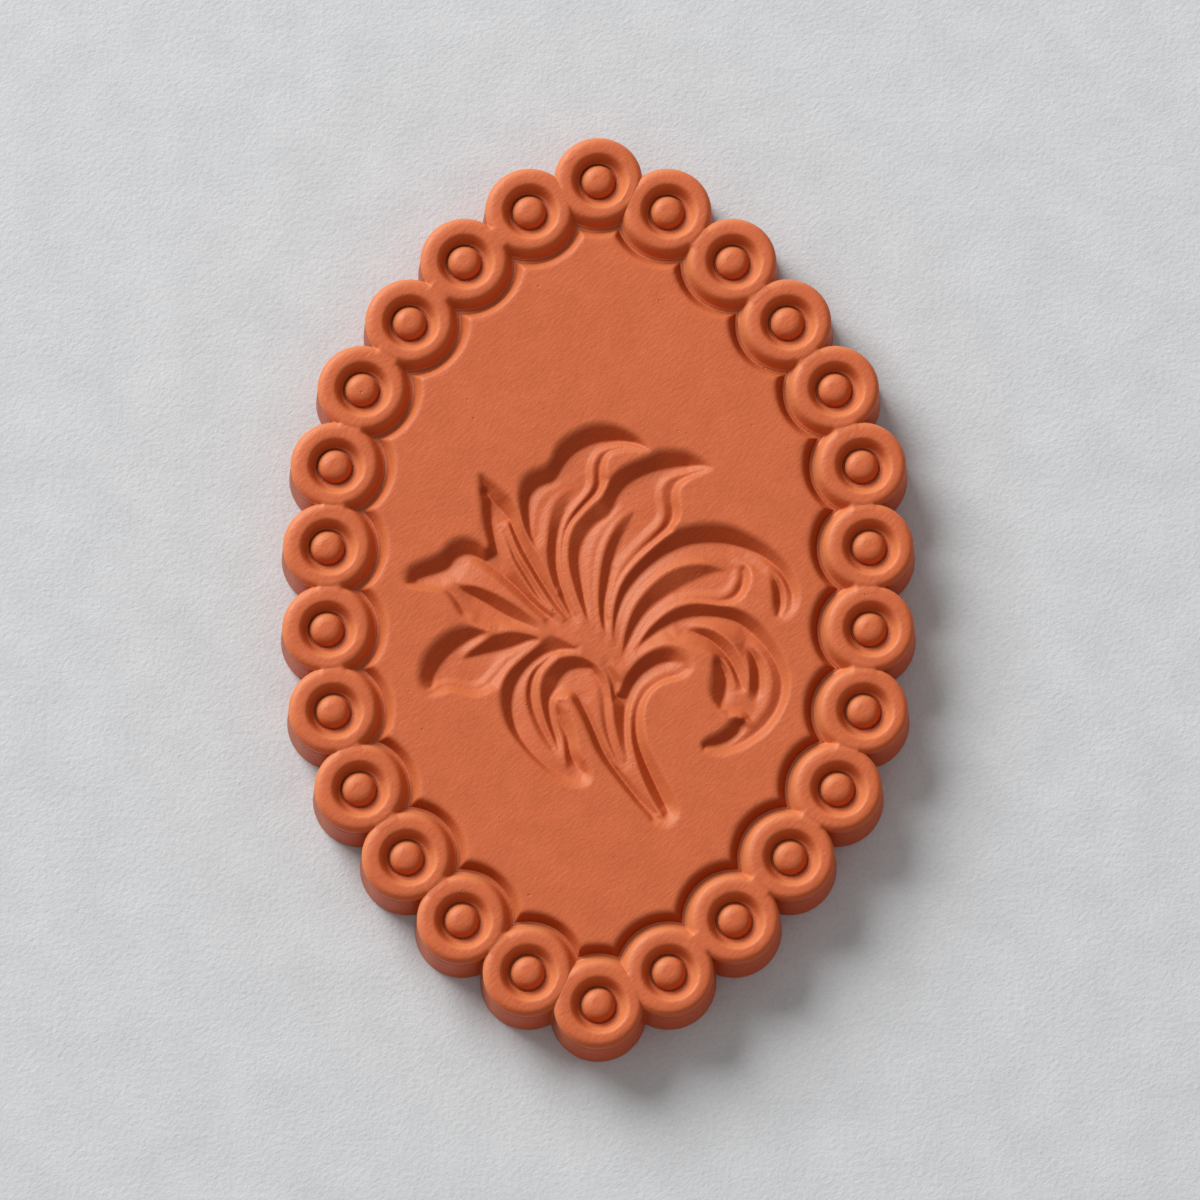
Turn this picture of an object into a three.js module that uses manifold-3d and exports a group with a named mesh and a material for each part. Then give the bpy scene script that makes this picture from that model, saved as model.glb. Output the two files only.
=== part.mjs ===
// Pressed clay plaque: a pointed oval with a border of fused rings, a bead in every ring,
// and a flat panel with a flower pressed into it.
// Millimetres, +Z out of the decorated face, +Y to the upper tip, back face on z = 0,
// origin at the middle of the back face.
import * as THREE from 'three';
import { mergeVertices } from 'three/addons/utils/BufferGeometryUtils.js';
import Module from 'manifold-3d';

const wasm = await Module();
wasm.setup();

// Heights
const SLAB_THICKNESS = 2.75;
const RIM_HEIGHT = 0.75;
const PANEL_HEIGHT = 0.7;
const BEAD_HEIGHT = 0.62;

// One ring of the border, from its middle outwards
const BEAD_RADIUS = 0.935;
const WELL_FLOOR_GAP = 0.185;
const WELL_WALL_RUN = 0.48;
const CREST_WIDTH = 0.4;
const SHOULDER_RUN = 0.372;
const FOOT_RUN = 0.25;
const BASE_FLARE = 0.19;
const GROOVE_FLOOR_WIDTH = 0.26;
const PANEL_EDGE_RUN = 0.38;
const KNEE_HEIGHT_SHARE = 0.65;
const WELL_KNEE_SHARE = 0.35;
const SHOULDER_KNEE_SHARE = 0.25;

// The oval that the ring centres lie on
const BORDER_HALF_LENGTH = 22.57;
const BORDER_HALF_WIDTH = 14.5;
const RING_OVERLAP = 0.122;
const TIP_DRAW_IN = 0.34;
const OVAL_QUARTER_SHARES = [[0, 1], [0.256, 0.924], [0.5, 0.798], [0.881, 0.479], [0.974, 0.295], [1, 0]];

// The soft bridge between two rings
const BRIDGE_DROP = 0.05;
const BRIDGE_OUTER_TOP = 0.5;
const BRIDGE_OUTER_FOOT = 0.68;
const BRIDGE_INNER_TOP = 0.9;
const BRIDGE_INNER_FOOT = 1.15;

// The flower is drawn on a square grid; these are its middle and its reach in grid units
const DRAWING_MIDDLE = [598, 586];
const DRAWING_REACH = 199;
const DRAWING_TALLNESS_SHARE = 1.027;
const FLOWER_MARGIN = 0.62;
const PETAL_DEPTH = 0.5;
const LEAF_DEPTH = 0.44;
const VEIN_DEPTH = 0.36;
const FOLD_DEPTH = 0.2;
const TIP_DEPTH_SHARE = 0.3;
const CUT_HEADROOM = 0.2;

// Facets
const RING_SIDES = 20;
const BEAD_SIDES = 16;
const BEAD_STEPS = 3;
const STROKE_STEPS_PER_POINT = 1.5;
const EXTRA_CUT = 0.5;
const MERGE_DISTANCE = 1e-4;

const CLAY = { color: 0xcc6b46, roughness: 0.72, metalness: 0 };

const WELL_FLOOR_RADIUS = BEAD_RADIUS + WELL_FLOOR_GAP;
const CREST_INNER_RADIUS = WELL_FLOOR_RADIUS + WELL_WALL_RUN;
const CREST_OUTER_RADIUS = CREST_INNER_RADIUS + CREST_WIDTH;
const WALL_RADIUS = CREST_OUTER_RADIUS + SHOULDER_RUN;
const FOOT_RADIUS = WALL_RADIUS + FOOT_RUN;
const PANEL_FOOT_RADIUS = FOOT_RADIUS + GROOVE_FLOOR_WIDTH;
const PANEL_TOP_RADIUS = PANEL_FOOT_RADIUS + PANEL_EDGE_RUN;
const WIDEST_PITCH = 2 * (WALL_RADIUS - RING_OVERLAP);

// Each stroke of the flower is a groove. Its edge is the top of the steep side, its crease the
// deepest line and its lip the far side, where the gentle slope comes back up.
const STROKES = {
  topPetal: {
    depth: PETAL_DEPTH,
    edge: [[528, 540], [517, 500], [522, 471], [548, 456], [567, 433], [608, 419], [646, 440]],
    crease: [[530, 539], [529, 502], [538, 486], [558, 474], [577, 451], [612, 440], [647, 446]],
    lip: [[534, 541], [539, 510], [556, 492], [580, 488], [592, 470], [605, 449], [648, 451]],
  },
  topPetalFold: {
    depth: FOLD_DEPTH,
    edge: [[597, 450], [593, 468], [594, 487], [576, 507]],
    crease: [[601, 452], [600, 468], [599, 488], [579, 509]],
    lip: [[605, 454], [604, 470], [603, 489], [582, 511]],
  },
  leftStrand: {
    depth: PETAL_DEPTH,
    edge: [[571, 485], [556, 498], [547, 520], [547, 548], [553, 578], [570, 612]],
    crease: [[574, 487], [567, 503], [560, 524], [559, 550], [563, 580], [575, 610]],
    lip: [[577, 489], [574, 505], [567, 525], [565, 550], [568, 580], [579, 608]],
  },
  secondPetal: {
    depth: PETAL_DEPTH,
    edge: [[580, 614], [569, 575], [568, 540], [583, 509], [601, 492], [622, 463], [660, 446], [708, 460]],
    crease: [[586, 614], [579, 575], [581, 542], [600, 519], [616, 498], [638, 475], [668, 467], [709, 463]],
    lip: [[600, 616], [597, 578], [604, 548], [622, 530], [645, 520], [660, 498], [671, 476], [711, 467]],
  },
  secondPetalFold: {
    depth: FOLD_DEPTH,
    edge: [[670, 475], [666, 492], [669, 512], [650, 528]],
    crease: [[674, 477], [672, 494], [674, 514], [654, 531]],
    lip: [[678, 479], [676, 494], [678, 515], [658, 533]],
  },
  secondPetalVein: {
    depth: VEIN_DEPTH,
    edge: [[631, 507], [616, 518], [605, 540], [599, 570], [600, 612]],
    crease: [[634, 510], [624, 528], [614, 555], [607, 582], [604, 614]],
    lip: [[637, 512], [633, 532], [624, 558], [613, 585], [608, 614]],
  },
  smallLobe: {
    depth: LEAF_DEPTH,
    edge: [[478, 477], [479, 505], [486, 540], [502, 570], [540, 612]],
    crease: [[482, 478], [489, 508], [494, 538], [510, 568], [548, 612]],
    lip: [[486, 477], [508, 495], [519, 530], [530, 565], [560, 612]],
  },
  leftLeaf: {
    depth: LEAF_DEPTH,
    edge: [[400, 577], [412, 560], [440, 548], [463, 534], [488, 548], [515, 580], [548, 615]],
    crease: [[402, 580], [424, 575], [448, 566], [464, 554], [486, 562], [512, 590], [546, 619]],
    lip: [[404, 583], [430, 586], [446, 592], [466, 600], [490, 603], [515, 612], [543, 625]],
  },
  leftLeafMidrib: {
    depth: VEIN_DEPTH,
    edge: [[452, 583], [480, 588], [509, 603], [540, 624]],
    crease: [[456, 587], [482, 597], [506, 612], [539, 627]],
    lip: [[460, 594], [480, 610], [504, 619], [538, 630]],
  },
  lowLeafOuter: {
    depth: LEAF_DEPTH,
    edge: [[422, 690], [419, 672], [430, 643], [448, 629], [466, 624], [486, 628]],
    crease: [[425, 692], [434, 675], [446, 656], [460, 645], [472, 638], [487, 631]],
    lip: [[429, 693], [445, 684], [462, 676], [476, 665], [484, 650], [489, 634]],
  },
  lowLeafInner: {
    depth: VEIN_DEPTH,
    edge: [[465, 653], [486, 637], [511, 628], [538, 634]],
    crease: [[468, 656], [490, 650], [514, 645], [538, 637]],
    lip: [[471, 662], [488, 685], [508, 668], [539, 641]],
  },
  curlingPetal: {
    depth: PETAL_DEPTH,
    edge: [[573, 644], [553, 635], [532, 647], [507, 671], [499, 700], [507, 727], [528, 751], [568, 778]],
    crease: [[574, 647], [555, 650], [537, 658], [520, 678], [513, 703], [519, 733], [538, 752], [572, 774]],
    lip: [[576, 650], [560, 656], [543, 668], [534, 690], [535, 712], [545, 738], [560, 755], [582, 766]],
  },
  curlPocket: {
    depth: PETAL_DEPTH,
    edge: [[590, 661], [573, 653], [556, 658], [545, 676], [540, 700], [545, 722], [556, 747]],
    crease: [[588, 665], [574, 669], [564, 677], [555, 690], [549, 706], [551, 726], [558, 747]],
    lip: [[592, 670], [585, 678], [574, 686], [566, 694], [556, 707], [556, 727], [561, 746]],
  },
  strap: {
    depth: LEAF_DEPTH,
    edge: [[573, 693], [580, 715], [596, 750], [621, 781], [652, 816]],
    crease: [[577, 693], [588, 715], [605, 752], [629, 781], [655, 814]],
    lip: [[590, 674], [604, 712], [621, 750], [641, 783], [660, 812]],
  },
  hookLeaf: {
    depth: PETAL_DEPTH,
    edge: [[623, 752], [613, 725], [613, 700], [624, 680], [643, 654], [667, 644], [687, 655]],
    crease: [[626, 754], [624, 730], [625, 703], [635, 681], [652, 665], [669, 660], [686, 659]],
    lip: [[630, 757], [633, 735], [633, 705], [642, 689], [656, 678], [672, 675], [688, 663]],
  },
  stem: {
    depth: LEAF_DEPTH,
    edge: [[632, 696], [631, 730], [639, 760], [652, 790], [664, 816]],
    crease: [[636, 696], [637, 732], [648, 762], [660, 788], [668, 814]],
    lip: [[641, 696], [642, 728], [652, 760], [665, 788], [673, 811]],
  },
  arcPetal: {
    depth: PETAL_DEPTH,
    edge: [
      [613, 624], [616, 600], [632, 564], [662, 536], [703, 519],
      [745, 526], [778, 550], [794, 586], [781, 618],
    ],
    crease: [
      [616, 624], [621, 600], [638, 571], [668, 548], [706, 539],
      [744, 544], [770, 558], [784, 584], [779, 616],
    ],
    lip: [
      [620, 625], [628, 600], [650, 578], [678, 562], [706, 556],
      [738, 562], [758, 570], [771, 590], [776, 614],
    ],
  },
  arcPetalVein: {
    depth: PETAL_DEPTH,
    edge: [[622, 650], [627, 615], [645, 587], [668, 569], [695, 562], [724, 566]],
    crease: [[625, 650], [637, 625], [658, 604], [680, 590], [702, 577], [725, 569]],
    lip: [[629, 649], [644, 622], [668, 603], [694, 597], [722, 594], [733, 574]],
  },
  arcPetalNub: {
    depth: FOLD_DEPTH,
    edge: [[740, 565], [738, 580], [733, 591], [724, 598]],
    crease: [[744, 566], [743, 580], [738, 593], [727, 601]],
    lip: [[748, 568], [748, 582], [743, 595], [729, 604]],
  },
  outerCurl: {
    depth: PETAL_DEPTH,
    edge: [
      [632, 645], [646, 626], [672, 606], [702, 601], [733, 605],
      [764, 629], [782, 662], [778, 706], [749, 739], [705, 749],
    ],
    crease: [
      [636, 646], [656, 632], [680, 620], [706, 616], [732, 622],
      [759, 640], [773, 668], [768, 706], [744, 732], [704, 745],
    ],
    lip: [
      [641, 647], [664, 633], [686, 625], [708, 624], [726, 633],
      [745, 650], [759, 675], [757, 703], [735, 722], [703, 741],
    ],
  },
  middleCurl: {
    depth: VEIN_DEPTH,
    edge: [[686, 624], [708, 625], [727, 635], [741, 655], [746, 690]],
    crease: [[688, 628], [706, 636], [722, 652], [733, 672], [743, 692]],
    lip: [[689, 632], [704, 642], [718, 660], [726, 680], [740, 695]],
  },
  curlSlot: {
    depth: VEIN_DEPTH,
    edge: [[742, 640], [746, 665], [745, 688], [747, 697]],
    crease: [[747, 643], [757, 668], [755, 688], [750, 698]],
    lip: [[752, 642], [764, 668], [761, 690], [754, 700]],
  },
  innerCurl: {
    depth: LEAF_DEPTH,
    edge: [[712, 648], [713, 668], [710, 688], [713, 700], [719, 708]],
    crease: [[717, 648], [725, 668], [723, 688], [720, 702], [721, 709]],
    lip: [[722, 648], [732, 668], [731, 690], [727, 704], [723, 711]],
  },
};

// Takes a closed geometry to a solid, with its faces turned outwards.
function solidOf(geometry) {
  const bare = geometry.clone();
  bare.deleteAttribute('normal');
  bare.deleteAttribute('uv');
  const merged = mergeVertices(bare, MERGE_DISTANCE);
  const positions = merged.attributes.position.array;
  const corners = merged.index.array;
  const triangles = [];
  let volume = 0;
  for (let i = 0; i < corners.length; i += 3) {
    const [a, b, c] = [corners[i], corners[i + 1], corners[i + 2]];
    if (a === b || b === c || c === a) continue;
    triangles.push(a, b, c);
    const pointA = new THREE.Vector3().fromArray(positions, 3 * a);
    const pointB = new THREE.Vector3().fromArray(positions, 3 * b);
    const pointC = new THREE.Vector3().fromArray(positions, 3 * c);
    volume += pointA.dot(pointB.cross(pointC));
  }
  if (volume < 0) triangles.reverse();
  return new wasm.Manifold(new wasm.Mesh({
    numProp: 3,
    vertProperties: new Float32Array(positions),
    triVerts: new Uint32Array(triangles),
  }));
}

function joined(solids) {
  return solids.reduce((whole, next) => whole.add(next));
}

function meshOf(name, solid) {
  const { vertProperties, triVerts } = solid.getMesh();
  const geometry = new THREE.BufferGeometry();
  geometry.setAttribute('position', new THREE.BufferAttribute(vertProperties, 3));
  geometry.setIndex(new THREE.BufferAttribute(triVerts, 1));
  geometry.computeVertexNormals();
  const mesh = new THREE.Mesh(geometry, new THREE.MeshStandardMaterial(CLAY));
  mesh.name = name;
  return mesh;
}

// A round piece from its outline of [radius, height] points, standing on z = bottom.
function turned(outline, sides, [x, y], bottom) {
  const points = outline.map(([radius, height]) => new THREE.Vector2(radius, height));
  const geometry = new THREE.LatheGeometry(points, sides);
  geometry.rotateX(Math.PI / 2);
  geometry.translate(x, y, bottom);
  return solidOf(geometry);
}

function cone(footRadius, topRadius, height, [x, y], bottom) {
  const outline = [[0, 0], [footRadius, 0], [topRadius, height], [0, height]];
  return turned(outline, RING_SIDES, [x, y], bottom);
}

function plate(corners, height, bottom) {
  const shape = new THREE.Shape(corners.map(([x, y]) => new THREE.Vector2(x, y)));
  const geometry = new THREE.ExtrudeGeometry(shape, { depth: height, bevelEnabled: false });
  geometry.translate(0, 0, bottom);
  return solidOf(geometry);
}

// The closed oval through the quarter's points and their mirror images, clockwise from the upper tip.
function borderOval() {
  const quarter = OVAL_QUARTER_SHARES.map(([u, v]) => [u * BORDER_HALF_WIDTH, v * BORDER_HALF_LENGTH]);
  const lowerRight = quarter.slice(0, -1).reverse().map(([x, y]) => [x, -y]);
  const right = [...quarter, ...lowerRight];
  const left = right.slice(1, -1).reverse().map(([x, y]) => [-x, y]);
  const points = [...right, ...left].map(([x, y]) => new THREE.Vector3(x, y, 0));
  const oval = new THREE.CatmullRomCurve3(points, true, 'centripetal');
  oval.arcLengthDivisions = 1200;
  return oval;
}

// Ring centres: one at each tip, the next one drawn in a little, the rest evenly spaced.
function ringCentres() {
  const oval = borderOval();
  const whole = oval.getLength();
  const half = whole / 2;
  const tipStep = WIDEST_PITCH - TIP_DRAW_IN;
  const links = Math.ceil((half - 2 * tipStep) / WIDEST_PITCH);
  const step = (half - 2 * tipStep) / links;
  const right = [0];
  for (let i = 0; i <= links; i += 1) right.push(tipStep + i * step);
  const left = right.slice(1).map((distance) => whole - distance).reverse();
  const places = [...right, half, ...left];
  return places.map((distance) => {
    const point = oval.getPointAt(distance / whole);
    return [point.x, point.y];
  });
}

// The fused ring's section: up the well wall, over the crest, down the shoulder to the foot.
function ring(centre) {
  const kneeHeight = RIM_HEIGHT * KNEE_HEIGHT_SHARE;
  const outline = [
    [WELL_FLOOR_RADIUS, 0],
    [WELL_FLOOR_RADIUS + WELL_WALL_RUN * WELL_KNEE_SHARE, kneeHeight],
    [CREST_INNER_RADIUS, RIM_HEIGHT],
    [CREST_OUTER_RADIUS, RIM_HEIGHT],
    [WALL_RADIUS - SHOULDER_RUN * SHOULDER_KNEE_SHARE, kneeHeight],
    [FOOT_RADIUS, 0],
    [WELL_FLOOR_RADIUS, 0],
  ];
  return turned(outline, RING_SIDES, centre, SLAB_THICKNESS);
}

// The filled saddle from one ring's crest to the next one's.
function bridge(from, to) {
  const along = new THREE.Vector3(to[0] - from[0], to[1] - from[1], 0);
  const reach = (CREST_INNER_RADIUS + CREST_OUTER_RADIUS) / 2;
  const length = along.length() - 2 * reach;
  along.normalize();
  const up = new THREE.Vector3(0, 0, 1);
  const inward = new THREE.Vector3().crossVectors(up, along);
  const height = RIM_HEIGHT - BRIDGE_DROP;
  const section = new THREE.Shape([
    new THREE.Vector2(BRIDGE_OUTER_FOOT, 0),
    new THREE.Vector2(BRIDGE_OUTER_TOP, height),
    new THREE.Vector2(-BRIDGE_INNER_TOP, height),
    new THREE.Vector2(-BRIDGE_INNER_FOOT, 0),
  ]);
  const geometry = new THREE.ExtrudeGeometry(section, { depth: length, bevelEnabled: false });
  const place = new THREE.Matrix4().makeBasis(inward, up, along);
  const start = along.clone().multiplyScalar(reach);
  place.setPosition(from[0] + start.x, from[1] + start.y, SLAB_THICKNESS);
  geometry.applyMatrix4(place);
  return solidOf(geometry);
}

function baseSlab(centres) {
  const footRadius = WALL_RADIUS + BASE_FLARE;
  const feet = centres.map((centre) => cone(footRadius, WALL_RADIUS, SLAB_THICKNESS, centre, 0));
  return joined([plate(centres, SLAB_THICKNESS, 0), ...feet]);
}

// The chain of rings, with its outer side cut back flush with the slab's upper edge.
function ringRim(centres) {
  const rings = centres.map(ring);
  const bridges = centres.map((centre, i) => bridge(centre, centres[(i + 1) % centres.length]));
  const tall = RIM_HEIGHT + 2 * EXTRA_CUT;
  const bottom = SLAB_THICKNESS - EXTRA_CUT;
  const discs = centres.map((centre) => cone(WALL_RADIUS, WALL_RADIUS, tall, centre, bottom));
  const allowed = joined([plate(centres, tall, bottom), ...discs]);
  return joined([...rings, ...bridges]).intersect(allowed);
}

function bead(centre) {
  const outline = [[0, 0]];
  for (let i = 0; i <= BEAD_STEPS; i += 1) {
    const angle = (i / BEAD_STEPS) * (Math.PI / 2);
    const radius = i < BEAD_STEPS ? BEAD_RADIUS * Math.cos(angle) : 0;
    outline.push([radius, BEAD_HEIGHT * Math.sin(angle)]);
  }
  return turned(outline, BEAD_SIDES, centre, SLAB_THICKNESS);
}

// Places a point of the flower's drawing on the panel; the drawing's y runs down.
function onPanel([u, v]) {
  const clearHalfWidth = BORDER_HALF_WIDTH - PANEL_TOP_RADIUS - FLOWER_MARGIN;
  const unit = clearHalfWidth / DRAWING_REACH;
  return new THREE.Vector2(
    (u - DRAWING_MIDDLE[0]) * unit,
    (DRAWING_MIDDLE[1] - v) * unit * DRAWING_TALLNESS_SHARE,
  );
}

// A groove cutter: five points at each step along the stroke, two of them above the surface.
function strokeCutter({ edge, crease, lip, depth }) {
  const steps = Math.ceil(edge.length * STROKE_STEPS_PER_POINT);
  const [edgeCurve, creaseCurve, lipCurve] = [edge, crease, lip].map(
    (points) => new THREE.SplineCurve(points.map(onPanel)),
  );
  const surface = SLAB_THICKNESS + PANEL_HEIGHT;
  const positions = [];
  for (let i = 0; i <= steps; i += 1) {
    const t = i / steps;
    const fullness = 1 - Math.abs(2 * t - 1) ** 4;
    const floor = surface - depth * (TIP_DEPTH_SHARE + (1 - TIP_DEPTH_SHARE) * fullness);
    const top = edgeCurve.getPoint(t);
    const low = creaseCurve.getPoint(t);
    const far = lipCurve.getPoint(t);
    positions.push(top.x, top.y, surface + CUT_HEADROOM, top.x, top.y, surface);
    positions.push(low.x, low.y, floor);
    positions.push(far.x, far.y, surface, far.x, far.y, surface + CUT_HEADROOM);
  }
  const around = 5;
  const faces = [];
  for (let i = 0; i < steps; i += 1) {
    for (let k = 0; k < around; k += 1) {
      const a = i * around + k;
      const b = i * around + (k + 1) % around;
      faces.push(a, b, a + around, b, b + around, a + around);
    }
  }
  const last = steps * around;
  for (let k = 1; k < around - 1; k += 1) {
    faces.push(0, k + 1, k);
    faces.push(last, last + k, last + k + 1);
  }
  const geometry = new THREE.BufferGeometry();
  geometry.setAttribute('position', new THREE.Float32BufferAttribute(positions, 3));
  geometry.setIndex(faces);
  return solidOf(geometry);
}

// The flat panel inside the rings: its edge follows every ring at the same distance.
function flowerPanel(centres) {
  const slope = (PANEL_TOP_RADIUS - PANEL_FOOT_RADIUS) / PANEL_HEIGHT;
  const footRadius = PANEL_FOOT_RADIUS - slope * EXTRA_CUT;
  const topRadius = PANEL_TOP_RADIUS + slope * EXTRA_CUT;
  const tall = PANEL_HEIGHT + 2 * EXTRA_CUT;
  const bottom = SLAB_THICKNESS - EXTRA_CUT;
  const hollows = centres.map((centre) => cone(footRadius, topRadius, tall, centre, bottom));
  const blank = plate(centres, PANEL_HEIGHT, SLAB_THICKNESS).subtract(joined(hollows));
  return Object.values(STROKES).reduce((panel, stroke) => panel.subtract(strokeCutter(stroke)), blank);
}

const plaque = new THREE.Group();
plaque.name = 'plaque';
const centres = ringCentres();
plaque.add(meshOf('base_slab', baseSlab(centres)));
plaque.add(meshOf('ring_rim', ringRim(centres)));
plaque.add(meshOf('flower_panel', flowerPanel(centres)));
centres.forEach((centre, i) => {
  plaque.add(meshOf(`bead_${String(i + 1).padStart(2, '0')}`, bead(centre)));
});

export default plaque;
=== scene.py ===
# %% [markdown]
# # A pressed clay plaque
# The real object is a small slab of terracotta clay, about fifty millimetres tall. A pointed oval
# of twenty-six fused rings runs round it, a bead sits in every ring, and a flower is pressed into
# the flat panel in the middle. This lesson builds it round a CAD model that gives every piece its
# place.

# %% Load the frame
import math

import bmesh
import bpy
import numpy as np
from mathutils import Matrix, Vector
from mathutils.geometry import delaunay_2d_cdt


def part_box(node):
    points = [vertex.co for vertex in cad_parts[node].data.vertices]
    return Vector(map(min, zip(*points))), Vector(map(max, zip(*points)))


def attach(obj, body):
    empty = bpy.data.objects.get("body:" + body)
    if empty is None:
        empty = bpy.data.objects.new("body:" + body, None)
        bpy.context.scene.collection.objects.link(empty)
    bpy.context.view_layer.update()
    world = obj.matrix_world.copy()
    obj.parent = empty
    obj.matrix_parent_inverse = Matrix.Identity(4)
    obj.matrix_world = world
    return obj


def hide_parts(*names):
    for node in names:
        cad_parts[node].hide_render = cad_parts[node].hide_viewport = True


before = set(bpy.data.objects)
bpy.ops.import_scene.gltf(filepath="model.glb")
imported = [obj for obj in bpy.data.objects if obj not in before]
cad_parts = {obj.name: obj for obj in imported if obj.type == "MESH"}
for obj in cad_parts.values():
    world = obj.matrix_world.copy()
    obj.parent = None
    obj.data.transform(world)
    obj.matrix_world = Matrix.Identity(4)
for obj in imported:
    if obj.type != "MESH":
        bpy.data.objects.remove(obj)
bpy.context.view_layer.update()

print("CAD nodes:", len(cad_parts))

# %% [markdown]
# ## Sizes
# A maker would measure the plaque with a calliper and write the numbers down once. The same is done
# here: lengths are in millimetres, because clay this small is thought of in millimetres, and MM
# takes them to Blender's metres at the very end. The ring centres aren't typed in. They are the
# middles of the CAD beads, so the fine rings always sit where the CAD rings are.

# %% Sizes and ring centres
MM = 0.001
SLAB_TOP = 2.75
RIM_HEIGHT = 0.75
PANEL_HEIGHT = 0.7
BEAD_HEIGHT = 0.62
BEAD_RADIUS = 0.935
WELL_FLOOR_RADIUS = 0.99
WALL_RADIUS = 2.372
RIM_FOOT_RADIUS = 2.65
PANEL_FOOT_RADIUS = 2.8
BASE_FLARE = 0.19
RING_COUNT = 26


def ring_centre(number):
    low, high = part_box(f"bead_{number:02d}")
    return np.array([(low[0] + high[0]) / 2, (low[1] + high[1]) / 2]) / MM


CENTRES = np.array([ring_centre(number) for number in range(1, RING_COUNT + 1)])
NEXT = np.roll(CENTRES, -1, axis=0)
BEFORE = np.roll(CENTRES, 1, axis=0)
NEXT_GAP = np.linalg.norm(NEXT - CENTRES, axis=1)
BEFORE_GAP = np.roll(NEXT_GAP, 1)
NEXT_ANGLE = np.arctan2(*(NEXT - CENTRES).T[::-1])
BEFORE_ANGLE = np.arctan2(*(BEFORE - CENTRES).T[::-1])
print("ring spacing, mm:", NEXT_GAP.min().round(3), "to", NEXT_GAP.max().round(3))

# %% [markdown]
# ## The camera
# The photograph looks almost straight down, thirteen degrees off, from the lower tip's side,
# through a long lens. A long lens keeps the rings round from edge to edge, and the small tilt shows
# the side wall below the lower rings. The camera is set by the point that it looks at, its distance
# and its tilt, because those three are easy to correct one at a time.

# %% Camera
TILT = math.radians(13.0)
CAMERA_DISTANCE = 432.6
LOOK_AT = Vector((0.093, -0.62, 2.88))
LENS = 243.03


def put_in_scene(name, data):
    thing = bpy.data.objects.new(name, data)
    bpy.context.collection.objects.link(thing)
    return thing


camera_data = bpy.data.cameras.new("camera")
camera_data.lens = LENS
camera_data.sensor_width = 36.0
camera_data.clip_start = 0.01
camera_data.clip_end = 10.0
camera = put_in_scene("camera", camera_data)
away = Vector((0.0, -math.sin(TILT), math.cos(TILT)))
camera.location = (LOOK_AT + away * CAMERA_DISTANCE) * MM
camera.rotation_euler = (TILT, 0.0, 0.0)
bpy.context.scene.camera = camera
print("camera is", round(camera.location.length, 3), "m from the plaque")

# %% [markdown]
# ## The light
# One large soft lamp stands low at the upper left, so that every edge facing it is bright and every
# edge facing away is in soft shade. That low light is what makes the shallow relief readable. The
# world gives the rest, an even pale light from all round that keeps the shade from going black.

# %% Light
KEY_AZIMUTH = math.radians(40.0)
KEY_HEIGHT = math.radians(33.0)
KEY_DISTANCE = 1400.0
KEY_SIZE = 900.0
KEY_SHARE = 0.63
KEY_COLOUR = (1.0, 0.995, 0.985)
AMBIENT_SHARE = 0.37
AMBIENT_COLOUR = (1.0, 0.97, 0.94)

toward_key = Vector((
    -math.sin(KEY_AZIMUTH) * math.cos(KEY_HEIGHT),
    math.cos(KEY_AZIMUTH) * math.cos(KEY_HEIGHT),
    math.sin(KEY_HEIGHT),
))
key_data = bpy.data.lights.new("key_lamp", "AREA")
key_data.shape = "DISK"
key_data.size = KEY_SIZE * MM
reach_squared = (KEY_DISTANCE**2 + (KEY_SIZE / 2) ** 2) * MM**2
key_data.energy = KEY_SHARE * math.pi**2 * reach_squared / math.sin(KEY_HEIGHT)
key_data.color = KEY_COLOUR
key_lamp = put_in_scene("key_lamp", key_data)
key_lamp.location = toward_key * KEY_DISTANCE * MM
key_lamp.rotation_euler = toward_key.to_track_quat("Z", "Y").to_euler()

world = bpy.data.worlds.new("studio")
bpy.context.scene.world = world
world.use_nodes = True
surround = world.node_tree.nodes["Background"]
surround.inputs["Color"].default_value = (*AMBIENT_COLOUR, 1.0)
surround.inputs["Strength"].default_value = AMBIENT_SHARE
bpy.context.scene.view_settings.view_transform = "Standard"
print("key lamp:", round(key_data.energy, 1), "W")

# %% [markdown]
# ## Shader nodes in few words
# Paper and clay are procedural: small nodes make a pattern, change it and hand it to the shader.
# Each node is made in the same way. It gets its settings, its sockets take numbers or links, and
# one output is used further on. So one function makes them all, and the short ones after it only
# say which node it is and what goes in.

# %% One function for every node


def add_node(tree, kind, output, sockets, **settings):
    node = tree.nodes.new("ShaderNode" + kind)
    for name, setting in settings.items():
        setattr(node, name, setting)
    for name, value in sockets.items():
        if isinstance(value, bpy.types.NodeSocket):
            tree.links.new(value, node.inputs[name])
        else:
            node.inputs[name].default_value = value
    return node.outputs[output]


def new_finish(name, colour, roughness):
    finish = bpy.data.materials.new(name)
    finish.use_nodes = True
    shader = finish.node_tree.nodes["Principled BSDF"]
    shader.inputs["Base Color"].default_value = colour
    shader.inputs["Roughness"].default_value = roughness
    return finish, finish.node_tree, shader


def rgb(red, green, blue):
    return (red, green, blue, 1.0)


print("a colour is written as", rgb(1.0, 0.5, 0.25))

# %% [markdown]
# ## Patterns
# Noise and random cells read the place on the object in millimetres, so the grain has its real size
# whatever the camera does. The place can be turned and stretched first, which makes fibres or a
# slanting grain of an even noise. A pattern is then only a number at each place, to be brought into
# a range, added to another, or pressed into the surface as a bump.

# %% Pattern nodes
EVEN = (1.0, 1.0, 1.0)
MOST_OF_NOISE = (0.3, 0.7)
MIX_SHARE, MIX_DARK, MIX_LIGHT, MIX_RESULT = 0, 6, 7, 2


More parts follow.
